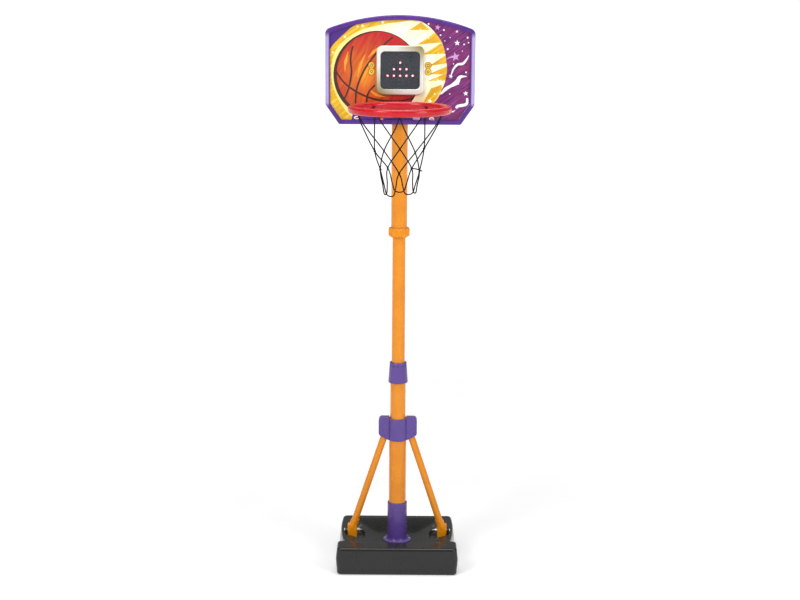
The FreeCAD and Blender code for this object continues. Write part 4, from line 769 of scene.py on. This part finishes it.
def printed_film():
    """Flat map of the print: constrained triangles of all outlines, each taking the top layer's ink."""
    low, high = corners("display_bezel")
    inset = (high[0] - low[0]) / 2 / MM - 8
    film = film_outline(13.9)
    window = np.array([(-inset, -inset), (inset, -inset), (inset, inset), (-inset, inset)])
    layers = print_layers()
    outlines = [refined(film), refined(window, 8.0)]
    outlines += [refined(shape) for _, shapes, _ in layers for shape in shapes]
    points, edges, start = [], [], 0
    for outline in outlines:
        count = len(outline)
        points += [Vector(p) for p in outline]
        edges += [(start + i, start + (i + 1) % count) for i in range(count)]
        start += count
    found, _, triangles, _, _, _ = delaunay_2d_cdt(points, edges, [], 0, 1e-4)
    flat = np.array([tuple(p) for p in found])
    triangles = np.array(triangles)
    centres = flat[triangles].mean(axis=1)
    order = ["night"] + [name for name in INKS if name != "night"]
    choice = np.where(inside(centres, film) & ~inside(centres, window), 0, -1)
    for name, shapes, clip in layers:
        room = choice >= 0
        if clip is not None:
            room &= inside(centres, clip)
        for shape in shapes:
            choice[room & inside(centres, shape)] = order.index(name)
    kept = choice >= 0
    triangles, choice = triangles[kept], choice[kept]
    used, triangles = np.unique(triangles, return_inverse=True)
    flat, triangles = flat[used], triangles.reshape(-1, 3)
    front = FILM_FRONT - 0.00012
    points = np.stack([flat[:, 0] * MM, np.full(len(flat), front), BOARD_MIDDLE[2] + flat[:, 1] * MM], axis=1)
    a, b, c = (points[triangles[:, k]] for k in range(3))
    wrong = np.cross(b - a, c - a)[:, 1] > 0
    triangles[wrong] = triangles[wrong][:, ::-1]
    obj = put_mesh("printed_film", points, triangles.tolist(), "goal", INKS[order[0]], smooth=False)
    for name in order[1:]:
        obj.data.materials.append(INKS[name])
    obj.data.polygons.foreach_set("material_index", choice.astype(np.int32))
    return obj


def glowing_lamp_collars():
    """Flat red collar round each lamp, with a painted glow: rings of radius 2.95 to 5.2 mm, just in front of the
    circuit board.
    """
    low, high = corners("leds")
    reach = 0.0029
    rings = ((0.00295, 0.0003), (0.0030, 0.0006), (0.0050, 0.0006), (0.0052, 0.0003))
    pitch_x = (high[0] - low[0] - 2 * reach) / 4
    pitch_z = (high[2] - low[2] - 2 * reach) / 2
    t = np.linspace(0, 2 * pi, 40, endpoint=False)
    parts = []
    for row, count in enumerate((1, 3, 5)):
        for i in range(count):
            x = (i - (count - 1) / 2) * pitch_x
            z = high[2] - reach - row * pitch_z
            grid = np.stack([
                np.stack([x + r * np.cos(t), np.full_like(t, high[1] - out), z + r * np.sin(t)], axis=1)
                for r, out in rings
            ])
            parts.append((grid, grid_faces(len(rings), len(t), True, True)))
    points, faces = join_parts(parts)
    obj = put_mesh("glowing_lamp_collars", points, faces.tolist(), "goal", lamp_halo())


# ---------------------------------------------------------------- moulded base
def tank_outline(count=600):
    """Plan of the tank, anticlockwise from the front right corner: straight runs, rounded corners and
    slightly bulging rear sides, resampled evenly."""
    half_x, half_y = TANK_HIGH[0], TANK_HIGH[1]
    step_y = -half_y + 0.084
    rear, waist, tail = half_x - 0.0065, half_x - 0.019, half_x - 0.011
    t = np.linspace(0, 1, 9)[1:-1]
    bulge = waist * (1 - t) * (1 - 2 * t) + rear * 4 * t * (1 - t) + tail * t * (2 * t - 1)
    side = list(zip(bulge, step_y + (half_y - step_y) * t))
    right = [((half_x, -half_y), 0.017), ((half_x, step_y), 0.0135), ((waist, step_y), 0.004)]
    right += [(point, 0.0) for point in side] + [((tail, half_y), 0.017)]
    left = [((-p[0], p[1]), r) for p, r in reversed(right)]
    bends = right + left
    line = []
    for i, (corner, radius) in enumerate(bends):
        p = np.array(corner)
        if radius == 0.0:
            line.append(p[None])
            continue
        back = unit(np.array(bends[i - 1][0]) - p)
        on = unit(np.array(bends[(i + 1) % len(bends)][0]) - p)
        half = np.arccos(np.clip(back @ on, -1, 1)) / 2
        centre = p + unit(back + on) * radius / sin(half)
        a0 = p + back * radius / tan(half) - centre
        a1 = p + on * radius / tan(half) - centre
        start, end = atan2(a0[1], a0[0]), atan2(a1[1], a1[0])
        turn = (end - start + pi) % (2 * pi) - pi
        t = start + turn * np.linspace(0, 1, 12)
        line.append(centre + radius * np.stack([np.cos(t), np.sin(t)], axis=1))
    line = np.concatenate(line)
    line = np.concatenate([line, line[:1]])
    t = np.linspace(0, 1, 8, endpoint=False)[:, None]
    line = np.concatenate([a + (b - a) * t for a, b in zip(line, line[1:])])
    line = np.concatenate([line, line[:1]])
    lengths = np.linalg.norm(np.diff(line, axis=0), axis=1)
    beside_pocket = np.exp(-(line[1:, 1] / 0.045) ** 4) * (np.abs(line[1:, 0]) > 0.1)
    steps = np.concatenate([[0], np.cumsum(lengths * (1 + 1.4 * beside_pocket))])
    at = np.linspace(0, steps[-1], count, endpoint=False)
    return np.stack([np.interp(at, steps, line[:, k]) for k in range(2)], axis=1)


def smoothstep(value):
    t = np.clip(value, 0, 1)
    return t * t * (3 - 2 * t)


def tank_top(x, y):
    """Height of the tank's top: a four-sided hopper falling to a flat round the pole, with soft creases
    where its slopes meet, and a round flat-bottomed pocket for each brace shoe."""
    depth, floor_x, floor_y = 0.026, 0.056, 0.052
    side, front, back = TANK_HIGH[0] - 0.046, TANK_HIGH[1] - 0.062, TANK_HIGH[1] - 0.034
    slopes = np.stack([
        (np.abs(x) - floor_x) / (side - floor_x), (-y - floor_y) / (front - floor_y),
        (y - floor_y) / (back - floor_y), np.zeros_like(x),
    ])
    crease = 26.0
    rise = np.log(np.exp(np.clip(slopes, -3, 3) * crease).sum(axis=0)) / crease
    height = TANK_TOP - depth * (1 - smoothstep(np.clip(rise, 0, 1) * 0.72 + 0.14) / smoothstep(0.86))
    height = np.minimum(height, TANK_TOP)
    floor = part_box("brace_shoe_right")[0][2]
    out_x = np.abs(np.abs(x) - POCKET_X) - POCKET_HALF[0] + POCKET_CORNER
    out_y = np.abs(y) - POCKET_HALF[1] + POCKET_CORNER
    beyond = np.hypot(np.maximum(out_x, 0), np.maximum(out_y, 0)) + np.minimum(np.maximum(out_x, out_y), 0)
    wall = smoothstep((beyond - POCKET_CORNER + 0.0012) / 0.003)
    return np.minimum(height, floor + (height - floor) * wall)


def pocket_line(side, grow, count=84):
    """Outline of a shoe pocket, grown outwards: its corner arcs' centres plus a turning radius."""
    t = np.linspace(0, 2 * pi, count, endpoint=False)
    reach = [h - POCKET_CORNER for h in POCKET_HALF]
    x = POCKET_X + np.sign(np.cos(t)) * reach[0] + (POCKET_CORNER + grow) * np.cos(t)
    y = np.sign(np.sin(t)) * reach[1] + (POCKET_CORNER + grow) * np.sin(t)
    return refined(np.stack([side * x, y], axis=1), 0.003)


def tank_top_mesh(rim):
    """Triangles of the top between the wall's last ring and the pole socket: the plan is divided through
    those two lines, the pockets' edges and an even lattice, then each point takes tank_top's height."""
    t = np.linspace(0, 2 * pi, 96, endpoint=False)
    socket = POLE_R * np.stack([np.cos(t), np.sin(t)], axis=1)
    lines = [rim, socket] + [pocket_line(side, grow) for side in (1, -1) for grow in (-0.0013, 0.0004, 0.0021)]
    step = 0.0032
    x, y = np.meshgrid(np.arange(-0.19, 0.19, step), np.arange(-0.165, 0.165, step))
    lattice = np.stack([x.ravel() + 0.3 * step * (np.arange(x.size) % 2), y.ravel()], axis=1)
    room = inside(lattice, rim) & (np.hypot(*lattice.T) > POLE_R + 0.0015)
    lattice = lattice[room]
    for line in lines:
        near = np.min(np.linalg.norm(lattice[:, None] - line[None], axis=2), axis=1)
        lattice = lattice[near > 0.0016]
    points, edges, start = [], [], 0
    for line in lines:
        points += [Vector(p) for p in line]
        edges += [(start + i, start + (i + 1) % len(line)) for i in range(len(line))]
        start += len(line)
    points += [Vector(p) for p in lattice]
    found, _, triangles, origins, _, _ = delaunay_2d_cdt(points, edges, [], 0, 1e-7)
    flat, triangles = np.array([tuple(p) for p in found]), np.array(triangles)
    middles = flat[triangles].mean(axis=1)
    triangles = triangles[inside(middles, rim) & ~inside(middles, socket)]
    a, b, c = (flat[triangles[:, k]] for k in range(3))
    wrong = (b[:, 0] - a[:, 0]) * (c[:, 1] - a[:, 1]) < (b[:, 1] - a[:, 1]) * (c[:, 0] - a[:, 0])
    triangles[wrong] = triangles[wrong][:, ::-1]
    first = np.array([held[0] if held else -1 for held in origins])
    return flat, triangles, first, socket


def shoe_lug(side):
    """Upstand beside a pocket: rows of one upright outline with rounded top corners, drawn in a little at
    its two ends, and closed by a fan at each end."""
    low_x = POCKET_X + POCKET_HALF[0]
    round_r, half, foot, top, edge, thick = 0.0125, 0.013, TANK_TOP - 0.006, 0.104, 0.0009, 0.006
    rows = []
    for x, inset in ((low_x, edge), (low_x + edge * 0.3, edge * 0.3), (low_x + edge, 0.0),
                     (low_x + thick - edge, 0.0), (low_x + thick - edge * 0.3, edge * 0.3), (low_x + thick, edge)):
        r = round_r - inset
        t = np.linspace(0, pi / 2, 14)
        y = half - round_r + r * np.cos(t)
        z = top - round_r + r * np.sin(t)
        outline = np.concatenate([
            [[half - inset, foot]], np.stack([y, z], axis=1), np.stack([-y[::-1], z[::-1]], axis=1),
            [[inset - half, foot]],
        ])
        rows.append(np.concatenate([np.full((len(outline), 1), x), outline], axis=1))
    grid = np.array(rows)
    columns = grid.shape[1]
    ends = np.array([[low_x, 0, top - 0.014], [low_x + thick, 0, top - 0.014]])
    points = np.concatenate([grid.reshape(-1, 3), ends]) * [side, 1, 1]
    faces = grid_faces(len(rows), columns, False, True)
    j = np.arange(columns)
    nj = (j + 1) % columns
    hub, last = len(rows) * columns, (len(rows) - 1) * columns
    near = np.stack([np.full(columns, hub), nj, j, j], axis=1)
    far = np.stack([np.full(columns, hub + 1), last + j, last + nj, last + nj], axis=1)
    return points, np.concatenate([faces, near, far])


def moulded_base():
    """Base: rings of the plan up the wall, with two low grooves, and over the rolled top edge; the divided
    top; the pole socket's wall and floor; and a flat underside. The walls lean in from mid height."""
    plan = tank_outline()
    ahead = np.roll(plan, -1, axis=0) - np.roll(plan, 1, axis=0)
    normal = unit(np.stack([ahead[:, 1], -ahead[:, 0]], axis=1))
    height, roll, draft = TANK_TOP, 0.008, 0.004
    seam = 0.050
    levels = np.concatenate([
        np.linspace(roll, 0.026, 14), np.linspace(0.030, seam, 5), np.linspace(seam + 0.004, height - roll, 6),
    ])
    z = np.concatenate([
        [0.0], roll - roll * np.cos(np.linspace(0, pi / 2, 7)), levels[1:-1],
        height - roll + roll * np.sin(np.linspace(0, pi / 2, 8)),
    ])
    lean = draft * np.abs(z - seam) / np.where(z > seam, height - seam, seam)
    edge = np.where(
        z < roll, roll - np.sqrt(np.clip(roll ** 2 - (roll - z) ** 2, 0, None)),
        np.where(z > height - roll, roll - np.sqrt(np.clip(roll ** 2 - (z - height + roll) ** 2, 0, None)), 0.0),
    )
    grooves = sum(0.0009 * np.exp(-((z - level) / 0.0016) ** 2) for level in (0.0165, 0.0225))
    inset = lean + edge + grooves
    inset[0] = inset[1] + 0.001
    walls = np.empty((len(z), len(plan), 3))
    walls[..., :2] = plan[None] - normal[None] * inset[:, None, None]
    walls[..., 2] = z[:, None]
    rows, columns = walls.shape[:2]
    flat, top, first, socket = tank_top_mesh(walls[-1, :, :2])
    crown = np.concatenate([flat, tank_top(flat[:, 0], flat[:, 1])[:, None]], axis=1)
    shared = (first >= 0) & (first < columns)
    crown[shared, 2] = height
    index = np.where(shared, (rows - 1) * columns + first, rows * columns + np.arange(len(flat)))
    top = index[top]
    ring = np.arange(len(socket))
    mouth = np.empty(len(socket), dtype=int)
    held = (first >= columns) & (first < columns + len(socket))
    mouth[first[held] - columns] = index[held]
    start = rows * columns + len(flat)
    lower = np.concatenate([socket, np.full((len(socket), 1), 0.010)], axis=1)
    points = np.concatenate([walls.reshape(-1, 3), crown, lower, [[0, 0, 0.010], [0, 0, 0.0]]])
    following = (ring + 1) % len(ring)
    bore = np.stack([mouth, mouth[following], start + following, start + ring], axis=1)
    hub = start + len(ring)
    foot = np.stack([np.full(len(ring), hub), start + ring, start + following, start + following], axis=1)
    j = np.arange(columns)
    nj = (j + 1) % columns
    under = np.stack([np.full(columns, hub + 1), nj, j, j], axis=1)
    top = np.concatenate([top, top[:, 2:]], axis=1)
    base = (points, np.concatenate([grid_faces(rows, columns, False, True), top, bore, foot, under]))
    points, faces = join_parts([base, shoe_lug(1), shoe_lug(-1)])
    obj = put_mesh("moulded_base", points, quads_and_triangles(faces), "stand", FINISHES["black_plastic"])
    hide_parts("base_tank")
    return obj


# ---------------------------------------------------------------- net
HOOKS = 5
CORD_R = 0.002
EYE_R = 0.0039
HOOK_LEVEL = RING_BOTTOM + 0.006
NET_R = 0.128
HALF_STEP = 180 / HOOKS


def ring_point(radius, angle, z):
    return np.array([radius * cos(radians(angle)), RING_Y + radius * sin(radians(angle)), z])


def net_levels():
    """Rows of the net from the hooks down, each point moved a little by hand-tied slack."""
    hook_z = HOOK_LEVEL - EYE_R - 0.0015
    upper_z, lower_z, loop_z = hook_z - 0.1075, hook_z - 0.1665, hook_z - 0.2355
    hooks, upper, lower, loops = [], [], [], []
    for i in range(HOOKS):
        angle = -90 + 2 * HALF_STEP * i
        slack = rng.normal(0, 1, 8)
        hooks.append(ring_point(NET_R, angle, hook_z))
        between = angle + HALF_STEP
        upper.append(ring_point(0.076 + 0.002 * slack[0], between + 1.6 * slack[1], upper_z + 0.003 * slack[2]))
        lower.append(ring_point(0.060 + 0.002 * slack[3], angle + 1.6 * slack[4], lower_z + 0.003 * slack[5]))
        loops.append(ring_point(0.047 + 0.003 * slack[6], between, loop_z + 0.004 * slack[7]))
    return hooks, upper, lower, loops


def net_cords(levels):
    """Five continuous cords: each runs from a hook through two knots, round a hanging loop, and back up
    through two more knots to another hook."""
    hooks, upper, lower, loops = levels
    lines = []
    for i in range(HOOKS):
        a, b, c, d = i, (i + 1) % HOOKS, (i + 2) % HOOKS, (i + 3) % HOOKS
        down = hooks[a] * 0.72 + upper[a] * 0.28 + [0, 0, -0.006]
        up = hooks[d] * 0.72 + upper[c] * 0.28 + [0, 0, -0.006]
        side = (lower[c] - lower[b]) * 0.17
        lines.append([
            hooks[a], down, upper[a], lower[b], loops[b] * 0.62 + lower[b] * 0.38 - side * 0.7, loops[b] - side,
            loops[b] + side, loops[b] * 0.62 + lower[c] * 0.38 + side * 0.7, lower[c], upper[c], up, hooks[d],
        ])
    return lines


def knot_path(centre, size, turn):
    """Trefoil (sin t + 2 sin 2t, cos t - 2 cos 2t, -sin 3t), drawn tight."""
    t = np.linspace(0, 2 * pi, 40, endpoint=False)
    loop = np.stack([np.sin(t) + 2 * np.sin(2 * t), -np.sin(3 * t) * 1.3, np.cos(t) - 2 * np.cos(2 * t)], axis=1)
    c, s = cos(turn), sin(turn)
    turned = np.stack([loop[:, 0] * c - loop[:, 1] * s, loop[:, 0] * s + loop[:, 1] * c, loop[:, 2]], axis=1)
    return centre + turned * size


def knotted_net():
    """Twine net: laid cords, an eye round each hook, a knot under each eye and at each crossing, and a
    free end at one lower knot."""
    levels = net_levels()
    hooks, upper, lower, loops = levels
    centre = np.array([0.0, RING_Y, (NET_LOW[2] + NET_HIGH[2]) / 2])
    parts = []
    for line in net_cords(levels):
        path = smooth_path(line, 0.0012)
        outward = unit((path - centre) * [1, 1, 0] + [0, 0, 0.01])
        parts.append(laid_cord(path, CORD_R, outward, sides=14))
    for i, spot in enumerate(hooks + upper + lower):
        size = 0.0007 if i < HOOKS else 0.001
        facing = atan2(spot[1] - RING_Y, spot[0])
        path = knot_path(spot, size, facing + pi / 2 + 0.3 * i)
        parts.append(laid_cord(path, CORD_R * 0.8, np.array([0.31, 0.22, 0.92]), sides=10, closed=True))
    for i in range(HOOKS):
        angle = radians(-90 + 2 * HALF_STEP * i)
        t = np.linspace(0, 2 * pi, 36, endpoint=False)
        across_hook = np.array([-sin(angle), cos(angle), 0])
        spot = np.array([hooks[i][0], hooks[i][1], HOOK_LEVEL])
        path = spot + EYE_R * (np.cos(t)[:, None] * across_hook + np.sin(t)[:, None] * [0, 0, 1])
        outward = np.array([cos(angle), sin(angle), 0])
        parts.append(laid_cord(path, CORD_R, outward, sides=12, closed=True))
    knot = lower[2]
    tail = knot + np.array([[2, 1, 0], [11, 5, -1.5], [21, 7.5, -4.5], [31, 11, -9]]) * MM
    parts.append(laid_cord(smooth_path(tail, 0.0012), CORD_R, np.array([0, 0, 1.0]), sides=14))
    points, faces = join_parts([(np.asarray(p), f) for p, f in parts])
    obj = put_mesh("knotted_net", points, quads_and_triangles(faces), "goal", FINISHES["net_cord"])
    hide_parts("net", "net_tail")
    return obj


# ---------------------------------------------------------------- finishes of the carried-over parts
FINISHES = {
    "black_plastic": finish(
        "black_moulding", rgb(34, 35, 34), (0.16, 0.3), coat=0.12, grain=420, bump=0.1, scratches=0.04, dust=0.05,
        shade=0.86, shine=0.3,
    ),
    "purple_plastic": finish(
        "purple_moulding", rgb(90, 66, 142), (0.2, 0.34), coat=0.15, grain=700, bump=0.12, shade=0.85, shine=0.3
    ),
    "orange_paint": tube_paint(),
    "orange_plastic": finish("orange_moulding", rgb(224, 138, 6), (0.26, 0.4), grain=800, shade=0.88, shine=0.3),
    "red_plastic": finish(
        "red_moulding", rgb(190, 12, 30), (0.2, 0.32), coat=0.2, grain=600, bump=0.12, shade=0.85, shine=0.3
    ),
    "board_plastic": board_moulding(),
    "printed_film": finish("film_backing", rgb(226, 222, 228), (0.3, 0.45), grain=500, bump=0.08),
    "silver_plastic": pearl_moulding(),
    "smoked_lens": smoked_window(),
    "guide_plastic": finish("guide_moulding", rgb(216, 212, 200), (0.4, 0.55), grain=700),
    "circuit": finish("circuit_laminate", rgb(16, 22, 26), (0.3, 0.45), grain=1500, shade=0.7),
    "lamp_red": lamp_glow(),
    "zinc": zinc_plate(),
    "spring_steel": finish("spring_steel", rgb(190, 182, 160), (0.2, 0.35), metal=1.0, grain=1500, bump=0.1),
    "cell_wrap": finish("cell_wrap", rgb(54, 56, 62), (0.2, 0.3), coat=0.4, grain=900, bump=0.08),
    "speaker_paper": finish("speaker_paper", rgb(38, 37, 36), (0.7, 0.85), grain=1600, bump=0.5),
    "net_cord": net_twine(),
    "plug_rubber": finish("plug_rubber", rgb(40, 40, 42), (0.55, 0.7), grain=1300, bump=0.3, dust=0.5),
}


def dress_carried_over_parts():
    for node in NODES.values():
        for index, held in enumerate(node.data.materials):
            node.data.materials[index] = FINISHES[held.name.split(".")[0]]


# ---------------------------------------------------------------- stage
def pale_floor():
    """Level pale floor: rings from its middle out to 130 m, each wider than the last by a fixed ratio. A soft
    glow that grows with the distance from the middle keeps the far floor as pale as the lit part."""
    t = np.linspace(0, 2 * pi, 72, endpoint=False)
    radii = np.concatenate([[0.05], np.geomspace(0.5, 130.0, 24)])
    grid = np.stack([
        radii[:, None] * np.cos(t), radii[:, None] * np.sin(t), np.zeros((len(radii), len(t))),
    ], axis=-1)
    points = np.concatenate([grid.reshape(-1, 3), [[0, 0, 0]]])
    hub = len(points) - 1
    faces = grid_faces(len(radii), len(t), False, True)[:, ::-1].tolist()
    faces += [[hub, i, (i + 1) % len(t)] for i in range(len(t))]
    material, n, shader = start_material("pale_floor")
    tone = n.noise(n.where(), 1.3, 2.0)
    pale = n.mix(n.spread(tone, 0.3, 0.7), (0.89, 0.89, 0.89, 1), (0.87, 0.87, 0.875, 1))
    n.link(pale, shader.inputs["Base Color"])
    away = n.add("ShaderNodeVectorMath", operation="LENGTH")
    n.link(n.where(), away.inputs[0])
    distance = n.spread(away.outputs["Value"], 0.8, 6.0)
    glow = n.ramp(distance, [(0.0, (0.25, 0.25, 0.25, 1)), (1.0, (0.95, 0.95, 0.95, 1))])
    n.link(glow, shader.inputs["Emission Color"])
    shader.inputs["Emission Strength"].default_value = 1.0
    shader.inputs["Roughness"].default_value = 0.6
    shader.inputs["Specular IOR Level"].default_value = 0.1
    mesh = bpy.data.meshes.new("pale_floor")
    mesh.from_pydata(points.tolist(), [], faces)
    mesh.polygons.foreach_set("use_smooth", [True] * len(mesh.polygons))
    mesh.materials.append(material)
    floor = bpy.data.objects.new("pale_floor", mesh)
    bpy.context.scene.collection.objects.link(floor)


def soft_light(name, place, aim, size, power):
    light = bpy.data.lights.new(name, "AREA")
    light.shape = "RECTANGLE"
    light.size, light.size_y = size
    light.energy = power
    lamp = bpy.data.objects.new(name, light)
    lamp.location = place
    lamp.rotation_euler = (Vector(aim) - Vector(place)).to_track_quat("-Z", "Y").to_euler()
    bpy.context.scene.collection.objects.link(lamp)


def studio():
    world = bpy.data.worlds.new("studio")
    world.use_nodes = True
    world.node_tree.nodes["Background"].inputs["Color"].default_value = (1, 1, 1, 1)
    world.node_tree.nodes["Background"].inputs["Strength"].default_value = 0.24
    bpy.context.scene.world = world
    bpy.context.scene.view_settings.view_transform = "Standard"
    soft_light("key", (-2.6, -3.0, 3.2), (0, 0, 0.9), (1.4, 2.4), 98)
    soft_light("fill", (2.8, -2.6, 2.4), (0, 0, 0.9), (1.4, 2.4), 70)
    soft_light("top", (0, -0.5, 4.2), (0, 0, 0.5), (2.4, 2.4), 80)


def front_camera():
    """Camera in front of the middle, a little above the backboard's top edge, tipped down and rolled."""
    camera = bpy.data.cameras.new("camera")
    camera.lens = 73.64
    camera.sensor_width = 36.0
    obj = bpy.data.objects.new("camera", camera)
    obj.location = (0.0043, -5.0, 1.867)
    tipped = Euler((radians(78.46), 0, 0)).to_matrix() @ Matrix.Rotation(radians(0.4), 3, "Z")
    obj.rotation_euler = tipped.to_euler()
    bpy.context.scene.collection.objects.link(obj)
    bpy.context.scene.camera = obj


dress_carried_over_parts()
printed_film()
glowing_lamp_collars()
moulded_base()
knotted_net()
pale_floor()
studio()
front_camera()
